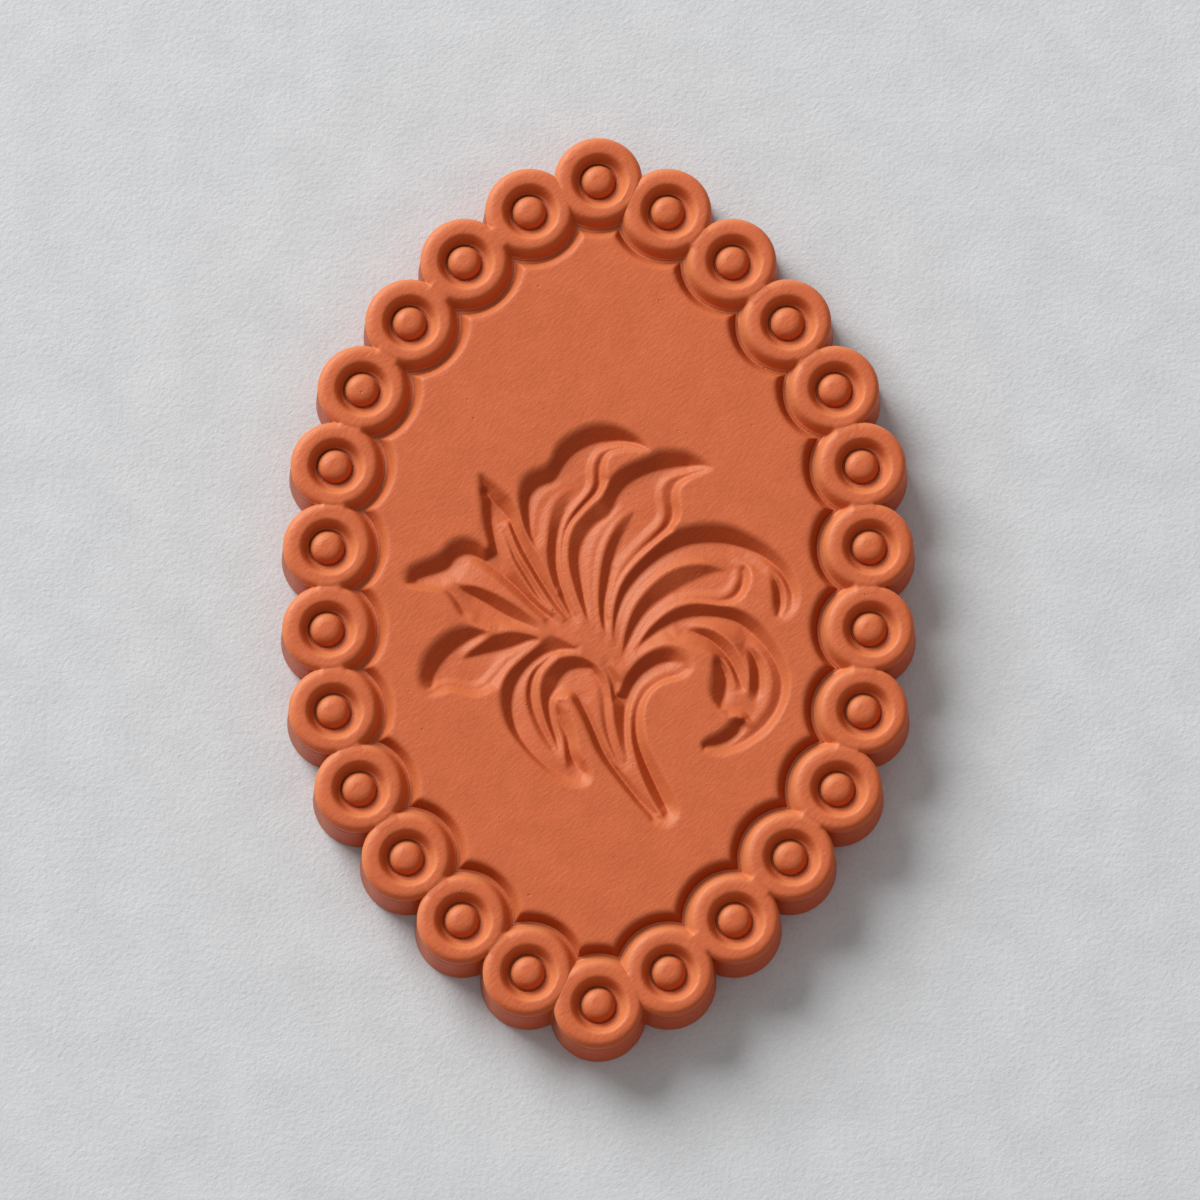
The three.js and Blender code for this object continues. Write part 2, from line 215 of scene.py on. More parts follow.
def place_in_mm(tree, turn=0.0, stretch=EVEN):
    where = add_node(tree, "TexCoord", "Object", {})
    scale = [MM * share for share in stretch]
    sockets = {"Vector": where, "Rotation": (0.0, 0.0, turn), "Scale": scale}
    return add_node(tree, "Mapping", "Vector", sockets, vector_type="TEXTURE")


def noise(tree, vector, per_mm, detail, roughness=0.5):
    sockets = {"Vector": vector, "Scale": per_mm, "Detail": detail, "Roughness": roughness}
    return add_node(tree, "TexNoise", "Fac", sockets)


def stretch_range(tree, value, start, end, low=0.0, high=1.0):
    ends = {"From Min": start, "From Max": end, "To Min": low, "To Max": high}
    return add_node(tree, "MapRange", "Result", {"Value": value, **ends})


def combine(tree, operation, first, second):
    return add_node(tree, "Math", "Value", {0: first, 1: second}, operation=operation)


def blend_of(tree, first, first_share, second):
    first = combine(tree, "MULTIPLY", first, first_share)
    return combine(tree, "ADD", first, combine(tree, "MULTIPLY", second, 1 - first_share))


def bumps(tree, layers):
    under = {}
    for height, depth_mm in layers:
        sockets = {"Height": height, "Distance": depth_mm * MM, **under}
        under = {"Normal": add_node(tree, "Bump", "Normal", sockets)}
    return under["Normal"]


def colour_between(tree, share, dark, light):
    sockets = {MIX_SHARE: share, MIX_DARK: dark, MIX_LIGHT: light}
    return add_node(tree, "Mix", MIX_RESULT, sockets, data_type="RGBA")


def part_of(tree, vector, axis):
    return add_node(tree, "SeparateXYZ", axis, {"Vector": vector})


print("patterns are counted per millimetre, and one is", MM, "m")

# %% [markdown]
# ## The paper underneath
# The plaque lies on pale, slightly rough paper. A photograph could be pasted on, but a plain plane
# with a fine random tooth is truer from every side. Two sizes of noise are stacked: the broad one
# is the cloudy unevenness of the sheet and the fine one its tooth. Fibres are a third, stretched
# noise.

# %% Paper floor
FLOOR_HALF = 0.6
PAPER = rgb(0.628, 0.643, 0.664)
PAPER_DARK = rgb(0.570, 0.586, 0.606)
PAPER_LIGHT = rgb(0.664, 0.680, 0.702)
CLOUD_SHARE = 0.6
TOOTH_DEPTH, FIBRE_DEPTH = 0.045, 0.018

paper, tree, shader = new_finish("paper", PAPER, roughness=0.85)
shader.inputs["Specular IOR Level"].default_value = 0.2
place = place_in_mm(tree)
tooth = noise(tree, place, per_mm=3.6, detail=4.0, roughness=0.6)
cloud = noise(tree, place, per_mm=0.35, detail=4.0, roughness=0.6)
along_fibres = place_in_mm(tree, turn=0.6, stretch=(2.0, 1.0, 1.0))
fibre = noise(tree, along_fibres, per_mm=7.0, detail=2.0, roughness=0.6)
share = stretch_range(tree, blend_of(tree, cloud, CLOUD_SHARE, tooth), *MOST_OF_NOISE)
tint = colour_between(tree, share, PAPER_DARK, PAPER_LIGHT)
tree.links.new(tint, shader.inputs["Base Color"])
rough = bumps(tree, [(tooth, TOOTH_DEPTH), (fibre, FIBRE_DEPTH)])
tree.links.new(rough, shader.inputs["Normal"])

floor_mesh = bpy.data.meshes.new("paper_sheet")
corners = [(x * FLOOR_HALF, y * FLOOR_HALF, 0) for x, y in ((-1, -1), (1, -1), (1, 1), (-1, 1))]
floor_mesh.from_pydata(corners, [], [(0, 1, 2, 3)])
floor = put_in_scene("paper_sheet", floor_mesh)
floor.data.materials.append(paper)
print("paper is", 2 * FLOOR_HALF, "m wide")

# %% [markdown]
# ## The clay
# Baked clay is matt with a faint soft sheen. Close up it shows a fine slanting grain from the tool
# that smoothed it, pores, and the odd nick. Light goes a little way into it, which warms the shade.
# One finish could serve all the pieces, because the real plaque is one lump, and the grain does run
# on across the seams, since every piece reads the same coordinates.
#
# The steep sides that face away from the lamp, towards the lower right, get painted shade: a
# deeper, redder brown than the lamp's shade alone makes them. The surface's own direction says
# where it
# goes: the normal's Z tells how steep a place is, and its X and Y tell which way it faces. Slopes
# that face the lamp get a painted highlight, a little paler clay. The painted shade differs from
# piece to piece, so one recipe gives four finishes. The slab's outer side is dark all round: its
# lamp-facing slopes get a darker brown instead of a highlight, so they throw less reddish light
# onto the paper.

# %% Clay colours
CLAY = rgb(0.6, 0.134, 0.047)
CLAY_DARK = rgb(0.56, 0.122, 0.042)
CLAY_LIGHT = rgb(0.64, 0.147, 0.053)
# Painted shade: darker, redder clay on steep sides that face away from the lamp.
CARVED_PAINTED_SHADE = rgb(0.39, 0.05, 0.006)
RING_PAINTED_SHADE = rgb(0.575, 0.104, 0.024)
BEAD_PAINTED_SHADE = rgb(0.5, 0.084, 0.017)
SIDE_PAINTED_SHADE = rgb(0.54, 0.068, 0.004)
# The slab's lamp-facing side is painted a darker brown, so it throws less reddish light onto the
# paper.
SIDE_DARKENED_TOWARD_LAMP = rgb(0.4, 0.078, 0.022)
# Painted highlight: paler clay on slopes that face the lamp.
RING_PAINTED_HIGHLIGHT = rgb(0.635, 0.192, 0.072)
CARVED_PAINTED_HIGHLIGHT = rgb(0.56, 0.144, 0.0485)
# Direction away from the lamp, to the lower right, that painted shade faces.
AWAY_FROM_LAMP = (0.68, -0.73)
LAMP_SIDE_FROM, LAMP_SIDE_TO = -0.06, -0.42
PAINTED_SHADE_IN_CARVING = {"slopes": (0.988, 0.9), "facing": (-0.25, 0.22)}
PAINTED_SHADE_ON_ROUNDS = {"slopes": (0.95, 0.8), "facing": (-0.05, 0.35)}
print("clay is", [round(c / CLAY[0], 2) for c in CLAY[:3]], "of its own red")

# %% [markdown]
# ## Grain and pores
# The grain is noise stretched along one direction and turned by 42 degrees. Pores are the middles
# of random cells, but only where a second, broad noise lets them open, so they come in loose groups
# and not in an even sprinkle. Each adds a bump of its own depth, all between a hundredth and three
# hundredths of a millimetre.

# %% Clay relief
GRAIN_TURN = math.radians(42.0)
GRAIN_STRETCH = (2.2, 1.0, 1.6)
PORES_PER_MM = 1.15
PORES_OPEN_FROM, PORES_OPEN_TO = 0.55, 0.8
WIDEST_PORE = 0.09
PORE_EDGE = 0.05
SWELL_SHARE = 0.55
SWELL_DEPTH, GRAIN_DEPTH, FINE_DEPTH, PORE_DEPTH = 0.03, 0.028, 0.012, 0.03
SMOOTHEST, ROUGHEST = 0.4, 0.49


def clay_relief(tree, shader, place):
    along_grain = place_in_mm(tree, GRAIN_TURN, GRAIN_STRETCH)
    grain = noise(tree, along_grain, per_mm=5.6, detail=3.0, roughness=0.6)
    swell = noise(tree, place, per_mm=0.7, detail=3.0)
    fine = noise(tree, place, per_mm=11.0, detail=2.0, roughness=0.6)
    where_open = noise(tree, place, per_mm=0.8, detail=1.0)
    opening = (PORES_OPEN_FROM, PORES_OPEN_TO)
    pore_size = stretch_range(tree, where_open, *opening, high=WIDEST_PORE)
    to_pore = add_node(tree, "TexVoronoi", "Distance", {"Vector": place, "Scale": PORES_PER_MM})
    pore = stretch_range(tree, combine(tree, "SUBTRACT", to_pore, pore_size), 0.0, PORE_EDGE)
    roughness = stretch_range(tree, grain, *MOST_OF_NOISE, SMOOTHEST, ROUGHEST)
    tree.links.new(roughness, shader.inputs["Roughness"])
    layers = [(swell, SWELL_DEPTH), (grain, GRAIN_DEPTH), (fine, FINE_DEPTH), (pore, PORE_DEPTH)]
    tree.links.new(bumps(tree, layers), shader.inputs["Normal"])
    return blend_of(tree, swell, SWELL_SHARE, grain)


print("the floor of a pore is at most", round(2 * WIDEST_PORE / PORES_PER_MM, 2), "mm wide")

# %% [markdown]
# ## Painted shade and painted highlight
# The painted shade is on a place that is steep and also faces away from the lamp, to the lower
# right. The painted highlight needs only that the place faces the lamp, to the upper left. On the
# panel the painted shade also fades out just under the top, so that the flat clay round a petal
# keeps a clean edge.

# %% Clay finishes
TONE_FROM, TONE_TO = 0.33, 0.67
CLEAN_EDGE = 0.06
PAINTED_SHADE_FADE = 0.14
WALL_TOP = SLAB_TOP + PANEL_HEIGHT - CLEAN_EDGE


# Masks for painted shade (steep sides away from the lamp) and for the lamp-side tint.
def where_light_is_painted(tree, painted_shade_reach):
    facing = add_node(tree, "TexCoord", "Normal", {})
    across = combine(tree, "MULTIPLY", part_of(tree, facing, "X"), AWAY_FROM_LAMP[0])
    along = combine(tree, "MULTIPLY", part_of(tree, facing, "Y"), AWAY_FROM_LAMP[1])
    toward = combine(tree, "ADD", across, along)
    steep = stretch_range(tree, part_of(tree, facing, "Z"), *painted_shade_reach["slopes"])
    sheltered = stretch_range(tree, toward, *painted_shade_reach["facing"])
    lamp_side_share = stretch_range(tree, toward, LAMP_SIDE_FROM, LAMP_SIDE_TO)
    return combine(tree, "MULTIPLY", steep, sheltered), lamp_side_share


def clay_finish(name, painted_shade_reach, painted_shade_colour, lamp_side_colour, wall_top=None):
    clay, tree, shader = new_finish(name, CLAY, roughness=0.45)
    shader.inputs["Specular IOR Level"].default_value = 0.24
    shader.inputs["Subsurface Weight"].default_value = 0.05
    shader.inputs["Subsurface Radius"].default_value = (1.0, 0.35, 0.2)
    shader.inputs["Subsurface Scale"].default_value = 0.22 * MM
    place = place_in_mm(tree)
    tone = stretch_range(tree, clay_relief(tree, shader, place), TONE_FROM, TONE_TO)
    tint = colour_between(tree, tone, CLAY_DARK, CLAY_LIGHT)
    painted_shade_share, lamp_side_share = where_light_is_painted(tree, painted_shade_reach)
    # Painted highlight on slopes that face the lamp; on the slab's side a darker brown instead.
    tint = colour_between(tree, lamp_side_share, tint, lamp_side_colour)
    if wall_top is not None:
        height = part_of(tree, place, "Z")
        below_top = stretch_range(tree, height, wall_top, wall_top - PAINTED_SHADE_FADE)
        painted_shade_share = combine(tree, "MULTIPLY", painted_shade_share, below_top)
    # Painted shade on steep sides that face away from the lamp.
    tint = colour_between(tree, painted_shade_share, tint, painted_shade_colour)
    tree.links.new(tint, shader.inputs["Base Color"])
    return clay


# Slab side: painted shade away from the lamp, and a darker painted brown on its lamp side.
clay_base = clay_finish("fired_clay_base", PAINTED_SHADE_ON_ROUNDS, SIDE_PAINTED_SHADE, SIDE_DARKENED_TOWARD_LAMP)
clay_rim = clay_finish("fired_clay_rim", PAINTED_SHADE_ON_ROUNDS, RING_PAINTED_SHADE, RING_PAINTED_HIGHLIGHT)
clay_panel = clay_finish(
    "fired_clay_panel", PAINTED_SHADE_IN_CARVING, CARVED_PAINTED_SHADE, CARVED_PAINTED_HIGHLIGHT, WALL_TOP
)
clay_beads = clay_finish("fired_clay_beads", PAINTED_SHADE_ON_ROUNDS, BEAD_PAINTED_SHADE, RING_PAINTED_HIGHLIGHT)
print("clay finishes:", [m.name for m in (clay_base, clay_rim, clay_panel, clay_beads)])

# %% [markdown]
# ## Profiles
# Everything round on the plaque is one outline carried round a centre. A soft outline is drawn
# through a few measured points. Straight lines between them would show as facets in this low light,
# so the curve between the points is a smooth one that never overshoots.

# %% Smooth profile through measured points


def smooth_profile(points):
    at, height = np.array(points, float).T
    step = np.diff(at)
    slope = np.diff(height) / step
    lean = np.zeros(len(at))
    flat = slope[:-1] * slope[1:] <= 0
    first = 2 * step[1:] + step[:-1]
    second = step[1:] + 2 * step[:-1]
    with np.errstate(divide="ignore", invalid="ignore"):
        middle = (first + second) / (first / slope[:-1] + second / slope[1:])
    lean[1:-1] = np.where(flat, 0.0, middle)
    lean[0], lean[-1] = slope[0], slope[-1]

    def height_at(where):
        where = np.clip(where, at[0], at[-1])
        k = np.clip(np.searchsorted(at, where) - 1, 0, len(at) - 2)
        t = (where - at[k]) / step[k]
        rise = (3 - 2 * t) * t * t
        return (
            height[k] * (1 - rise) + height[k + 1] * rise
            + step[k] * (lean[k] * t * (1 - t) ** 2 - lean[k + 1] * t * t * (1 - t))
        )

    return height_at


ring_profile = smooth_profile([
    (0.99, 0.0), (1.03, 0.02), (1.12, 0.06), (1.2, 0.145), (1.28, 0.3), (1.37, 0.5), (1.46, 0.645),
    (1.57, 0.725), (1.7, 0.747), (1.84, 0.75), (1.98, 0.742), (2.11, 0.712), (2.21, 0.66),
    (2.3, 0.57), (2.372, 0.455), (2.45, 0.3), (2.53, 0.14), (2.6, 0.03), (2.65, 0.0),
])
print("ring height at the crest, mm:", ring_profile(np.array([1.84])).round(3))

# %% [markdown]
# ## From points to a piece
# Every piece below is a list of points in millimetres and a list of faces. The same few steps turn
# the lists into a piece: weld what coincides, turn all faces outwards, shade smoothly, give it its
# clay, and hide the CAD node that it stands for. Most surfaces are rows of points joined by quads,
# and the flat ones are an outline filled with triangles, so these have a helper each too.

# %% Mesh helpers
WELD_MM = 0.002


def mesh_piece(name, points, faces, finish, slot, nodes):
    mesh = bpy.data.meshes.new(name)
    corners = [tuple(p) for p in np.asarray(points) * MM]
    mesh.from_pydata(corners, [], [tuple(map(int, face)) for face in faces])
    mesh.validate()
    build = bmesh.new()
    build.from_mesh(mesh)
    bmesh.ops.remove_doubles(build, verts=build.verts, dist=WELD_MM * MM)
    bmesh.ops.recalc_face_normals(build, faces=build.faces)
    build.to_mesh(mesh)
    build.free()
    for face in mesh.polygons:
        face.use_smooth = True
    piece = put_in_scene(name, mesh)
    mesh.materials.append(finish)
    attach(piece, "root")
    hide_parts(*nodes)
    print(name, "faces:", len(mesh.polygons))


def on_circle(centre, radius, angles):
    return centre[0] + radius * np.cos(angles), centre[1] + radius * np.sin(angles)


def quads_between_rows(start, rows, count):
    quads = []
    for row in range(start, start + (rows - 1) * count, count):
        for k in range(count):
            a, b = row + k, row + (k + 1) % count
            quads.append((a, b, b + count, a + count))
    return quads


def fill_outline(spots, corners, tolerance):
    spots = [Vector(spot[:2]) for spot in spots]
    filled = delaunay_2d_cdt(spots, [], [list(range(corners))], 1, tolerance)
    return np.array([tuple(v) for v in filled[0]]), filled[2]


def add_sheet(points, faces, spots, heights, triangles):
    base = len(points)
    points.extend((x, y, z) for (x, y), z in zip(spots, heights))
    faces.extend(tuple(base + i for i in face) for face in triangles)


print("points closer than", WELD_MM, "mm are welded")

# %% [markdown]
# ## The chain of rings
# Each ring is a soft hoop of clay, and neighbours are fused by a low saddle. A torus for every ring
# would leave them cutting through each other. Here each ring is a fan of rows that stops at the
# plane half-way to its neighbour, where the neighbour's rows stop too, so the chain is one skin
# with no overlaps. Its height is the ring's own outline, raised to the saddle where two rings come
# close. On the real plaque each well sits a tenth of a millimetre off its bead, towards the lower
# right, while the outer edge does not. So the outline is read from a centre that slides back as it
# nears the edge.

# %% Ring heights
SADDLE_HEIGHT = 0.7
SADDLE_BLEND = 0.12
SADDLE_OUTER_EDGE, SADDLE_OUTER_FADE = 0.98, 0.62
SADDLE_INNER_EDGE, SADDLE_INNER_FADE = 1.42, 0.8
SADDLE_HALF_LENGTH, SADDLE_END_FADE = 0.82, 0.45
WELL_SHIFT = (0.07, -0.075)
SHIFT_ENDS_AT = 2.36
SHIFT_FADES_OVER = 0.55


def ease(value):
    value = np.clip(value, 0.0, 1.0)
    return value * value * (3 - 2 * value)


def soft_larger(a, b, blend):
    near = np.maximum(blend - np.abs(a - b), 0.0)
    return np.maximum(a, b) + near * near / (4 * blend)


def rim_height(x, y, ring):
    dx, dy = x - CENTRES[ring, 0], y - CENTRES[ring, 1]
    held = ease((SHIFT_ENDS_AT - np.hypot(dx, dy)) / SHIFT_FADES_OVER)
    height = ring_profile(np.hypot(dx - WELL_SHIFT[0] * held, dy - WELL_SHIFT[1] * held))
    for angle, gap, side in ((NEXT_ANGLE, NEXT_GAP, 1), (BEFORE_ANGLE, BEFORE_GAP, -1)):
        along = np.array([math.cos(angle[ring]), math.sin(angle[ring])])
        outward = np.array([-along[1], along[0]]) * side
        from_plane = gap[ring] / 2 - (dx * along[0] + dy * along[1])
        off_line = dx * outward[0] + dy * outward[1]
        saddle = SADDLE_HEIGHT * ease((SADDLE_OUTER_EDGE - off_line) / SADDLE_OUTER_FADE)
        saddle = saddle * ease((off_line + SADDLE_INNER_EDGE) / SADDLE_INNER_FADE)
        saddle = saddle * ease((SADDLE_HALF_LENGTH - from_plane) / SADDLE_END_FADE)
        height = soft_larger(height, saddle, SADDLE_BLEND)
    return np.minimum(height, RIM_HEIGHT)


print("saddle between rings, mm:", SADDLE_HEIGHT)

# %% [markdown]
# ## The outline of one ring
# Seen from above, one ring's share of the chain has four sides: the arc of the outer wall, the arc
# of the inner foot, and a straight cut to each neighbour. Walking round it in even steps gives an
# angle and a reach for each step, and the fan of rows is drawn from those.

# %% Ring outline
FACING_STEPS = 22
OUTER_STEPS = 40
INNER_STEPS = 34


def reach_angle(gap, radius):
    return math.acos(min(1.0, gap / 2 / radius))


def rim_outline(ring):
    next_angle, before_angle = NEXT_ANGLE[ring], BEFORE_ANGLE[ring]
    next_in = next_angle - reach_angle(NEXT_GAP[ring], RIM_FOOT_RADIUS)
    next_out = next_angle + reach_angle(NEXT_GAP[ring], WALL_RADIUS)
    before_out = before_angle - reach_angle(BEFORE_GAP[ring], WALL_RADIUS)
    before_in = before_angle + reach_angle(BEFORE_GAP[ring], RIM_FOOT_RADIUS)
    while before_out < next_out:
        before_out += math.tau
        before_in += math.tau
        before_angle += math.tau
    angles, reaches, walled = [], [], []
    for start, end, steps, reach, cut_across in (
        (next_in, next_out, FACING_STEPS, NEXT_GAP[ring] / 2, next_angle),
        (next_out, before_out, OUTER_STEPS, WALL_RADIUS, None),
        (before_out, before_in, FACING_STEPS, BEFORE_GAP[ring] / 2, before_angle),
        (before_in, next_in + math.tau, INNER_STEPS, RIM_FOOT_RADIUS, None),
    ):
        for angle in np.linspace(start, end, steps, endpoint=False):
            angles.append(angle)
            reaches.append(reach if cut_across is None else reach / math.cos(angle - cut_across))
            walled.append(reach == WALL_RADIUS)
    return np.array(angles), np.array(reaches), np.array(walled)


print("steps round a ring:", len(rim_outline(0)[0]))

# %% [markdown]
# ## The skin of the chain
# The rows start at the floor of the well, climb over the crest and end at the outline. A little
# crowding brings them closer together near the edge, where the height changes fastest. Under them a
# flat face closes each ring, and the outer arc gets a short wall down to the slab.

# %% Ring mesh
RIM_ROWS = 30
RIM_CROWDING = 0.92


def rim_mesh():
    points, faces = [], []
    shares = np.linspace(0.0, 1.0, RIM_ROWS) ** RIM_CROWDING
    for ring, centre in enumerate(CENTRES):
        angles, reaches, walled = rim_outline(ring)
        count = len(angles)
        start = len(points)
        for share in shares:
            radius = WELL_FLOOR_RADIUS + (reaches - WELL_FLOOR_RADIUS) * share
            x, y = on_circle(centre, radius, angles)
            points.extend(zip(x, y, SLAB_TOP + rim_height(x, y, ring)))
        points.extend(zip(*on_circle(centre, reaches, angles), np.full(count, SLAB_TOP)))
        faces.extend(quads_between_rows(start, RIM_ROWS, count))
        top, foot = start + (RIM_ROWS - 1) * count, start + RIM_ROWS * count
        for k in range(count):
            following = (k + 1) % count
            faces.append((start + k, start + following, foot + following, foot + k))
            if walled[k]:
                faces.append((top + k, foot + k, foot + following, top + following))
    return points, faces


mesh_piece("ring_chain", *rim_mesh(), clay_rim, "clay_rim", ["ring_rim"])

# %% [markdown]
# ## The beads
# A bead is a dome with a slightly flattened top, as a ball of clay takes it when it is pressed into
# its well. A stretched sphere would be rounder on top and softer at the foot. The outline here is
# drawn through measured points as the ring's is, and turned round the middle of each ring.

# %% Beads
BEAD_SIDES = 48
BEAD_ROWS = 18
bead_profile = smooth_profile([
    (0.0, BEAD_HEIGHT), (0.3, 0.612), (0.42, 0.588), (0.52, 0.555), (0.62, 0.508), (0.72, 0.436),
    (0.82, 0.312), (0.9, 0.14), (BEAD_RADIUS, 0.0),
])


def bead_mesh(centre):
    points = []
    angles = math.tau * np.arange(BEAD_SIDES) / BEAD_SIDES
    for row in range(BEAD_ROWS):
        radius = BEAD_RADIUS * (1 - row / BEAD_ROWS)
        height = SLAB_TOP + float(bead_profile(radius))
        points.extend((x, y, height) for x, y in zip(*on_circle(centre, radius, angles)))
    points.append((centre[0], centre[1], SLAB_TOP + BEAD_HEIGHT))
    faces = quads_between_rows(0, BEAD_ROWS, BEAD_SIDES)
    crown = len(points) - 1
    last = crown - BEAD_SIDES
    for side in range(BEAD_SIDES):
        faces.append((last + side, last + (side + 1) % BEAD_SIDES, crown))
    faces.append(tuple(reversed(range(BEAD_SIDES))))
    return points, faces


for number, centre in enumerate(CENTRES, start=1):
    node = f"bead_{number:02d}"
    mesh_piece(f"clay_{node}", *bead_mesh(centre), clay_beads, "clay_beads", [node])

# %% [markdown]
# ## The base slab
# Under the rings the plaque is a plain slab with a scalloped side that spreads a little towards the
# table. Its top shows only as the floor of the groove and of the wells. The side is rows of arcs,
# each row a little wider than the one above, with a small rounded edge where it meets the table.

# %% Base slab
SIDE_ROWS = 14
SIDE_STEPS = 40
EDGE_ROUND = 0.12
EDGE_ROWS = (0.0, 0.03, 0.07, EDGE_ROUND)
EDGE_TUCK = 0.6
CAP_TOLERANCE = 1e-7


def chain_of_arcs(radius, steps, outside):
    loop = []
    for ring, centre in enumerate(CENTRES):
        at_next = reach_angle(NEXT_GAP[ring], radius)
        at_before = reach_angle(BEFORE_GAP[ring], radius)
        if outside:
            start, end = NEXT_ANGLE[ring] + at_next, BEFORE_ANGLE[ring] - at_before
        else:
            start, end = BEFORE_ANGLE[ring] + at_before, NEXT_ANGLE[ring] - at_next
        while end < start:
            end += math.tau
        first, last = (end, start) if outside else (start, end)
        angles = np.linspace(first, last, steps)[:-1]
        loop.extend(zip(*on_circle(centre, radius, angles)))
    return np.array(loop)


def slab_mesh():
    points = []
    heights = np.r_[EDGE_ROWS, np.linspace(EDGE_ROUND, SLAB_TOP, SIDE_ROWS)[1:]]
    for height in heights:
        down = 1 - min(height / EDGE_ROUND, 1.0)
        tuck = EDGE_TUCK * EDGE_ROUND * (1 - math.sqrt(max(0.0, 1 - down**2)))
        radius = WALL_RADIUS + BASE_FLARE * (1 - height / SLAB_TOP) - tuck
        outline = chain_of_arcs(radius, SIDE_STEPS, outside=True)
        points.extend((x, y, height) for x, y in outline)
    count = len(outline)
    faces = quads_between_rows(0, len(heights), count)
    for row in (0, len(heights) - 1):
        loop = points[row * count : (row + 1) * count]
        spots, triangles = fill_outline(loop, count, CAP_TOLERANCE)
        add_sheet(points, faces, spots, np.full(len(spots), heights[row]), triangles)
    return points, faces


mesh_piece("base_of_clay", *slab_mesh(), clay_base, "clay_base", ["base_slab"])

# %% [markdown]
# ## How the flower is drawn
# The flower is pressed into the panel, so it is a landscape of cuts. Sculpting it by hand would
# leave nothing to correct by number, and an image as a height map isn't a model of anything. A
# carver thinks in lines, the edge of a petal, the bottom of a cut, the crest of a fold, and so does
# this recipe. A line starts with its depths below the panel, in hundredths of a millimetre, spread
# evenly along it. Then come the points that it passes through, in drawing units of about 0.053 mm
# with y pointing down.

# %% List of lines
DEPTHS_PER_MM = 100
FLOWER = []


def line(depths, *points):
    FLOWER.append((depths, points))


def count_lines(name, lines):
    points = sum(len(line_points) for depths, line_points in FLOWER[-lines:])
    print(f"{name}: {lines} lines, {points} points, {len(FLOWER)} lines so far")


print("depths are in 1 /", DEPTHS_PER_MM, "mm")

# %% [markdown]
# ### Top petal
# The top petal leans to the right and ends in a fine tip. Its upper side is one steep wall, the
# floor below it is flat, and near the right side the petal folds back, which shows as a narrow
# gutter and a raised lip. Small veins run down its lower left part. It could be a cutter swept
# along a path, but a path can't change its width, so edge, crease, gutter and lip are lines of
# their own.

# %% Top petal
line([0],
    (516, 496), (517.5, 484), (522, 474), (531, 467), (543, 463), (549, 457), (552, 448),
    (560, 437), (573, 428), (588, 421.5), (605, 420), (622, 424), (636, 432), (645, 440),
    (651, 448))
line([0, 4, 10, 18, 22],
    (516, 498), (518, 508), (521, 520), (525, 531), (531, 541))
line([34, 50, 56, 58, 60, 62, 62, 62, 60, 40, 4],
    (531.5, 538), (529.5, 520), (528.5, 505), (530, 495), (535, 488), (543, 483), (553, 479.5),
    (558, 472), (563, 463), (572, 453), (584, 445), (597, 440.3), (612, 438.5), (628, 439.5),
    (640, 443), (650, 449))
line([50, 57, 58, 57, 56, 54, 52],
    (610, 442), (598, 446), (590.5, 452), (587, 460), (586, 469), (586, 478), (583, 486),
    (577.5, 493.5), (571, 501), (566.5, 509), (562.5, 519), (559.8, 529))
line([2, 22, 31, 34, 34, 37, 36, 34, 30],
    (650, 449.2), (630, 444.5), (612, 444.7), (600, 449.5), (593.8, 458), (591.5, 468),
    (591.5, 480), (588.5, 489.5), (580.5, 499.5), (571.5, 511), (564, 523), (560.5, 537),
    (559.5, 550), (560, 565), (563, 580), (568.5, 598), (574.5, 612))
line([3, 26, 50, 60, 60, 52, 40, 34, 30],
    (648, 450), (628, 447.5), (612, 448.5), (604.5, 453), (601, 462), (600, 472), (600, 482),
    (595.5, 491), (588, 499), (578.5, 509), (569.5, 521), (564, 534), (562.5, 548), (563, 562),
    (566, 578), (571.5, 596), (578, 611))
line([0, 3, 6, 8, 8],
    (649, 451), (632, 450), (618, 450.7), (610, 455), (606.5, 462), (605.5, 471))
line([53, 44, 40, 39, 37],
    (569, 480), (557, 484), (546.5, 490), (539, 498.5), (534.5, 510), (532.8, 524), (533.3, 539))
line([54, 46, 42, 40, 38],
    (571, 482.5), (559, 488), (549.5, 495.5), (543, 506), (539, 519), (537.5, 534))
count_lines("top petal", 9)

# %% [markdown]
# ### Left strand
# Between the top petal and the next one a narrow strand sinks and then runs to the middle of the
# flower. Two lines are enough, its sharp left edge and its deep middle. The right side is the edge
# of the gutter that is already there.

# %% Left strand
line([54, 38, 28, 22, 22, 23, 28, 34],
    (574, 485), (563.5, 489), (555, 498.5), (550, 510), (547, 525), (546, 540), (546.5, 556),
    (549, 571), (554, 588), (562, 605), (569, 617))
line([56, 58, 58, 58, 56, 54, 52, 48, 26],
    (573.5, 488.5), (569.5, 497), (565, 508), (561, 522), (558, 535), (556.5, 548), (556.5, 562),
    (559.5, 578), (565.5, 596), (572.5, 612), (577.5, 625))
count_lines("left strand", 2)

# %% [markdown]
# ### Second petal
# The second petal is the top petal once more, farther right and a little larger. Copying the first
# one and turning it would be quick, but the two differ in how they fold, and a carver's hand shows
# in such differences. So it has lines of its own, in the same order: edge, crease, floor, gutter,
# lip, veins.

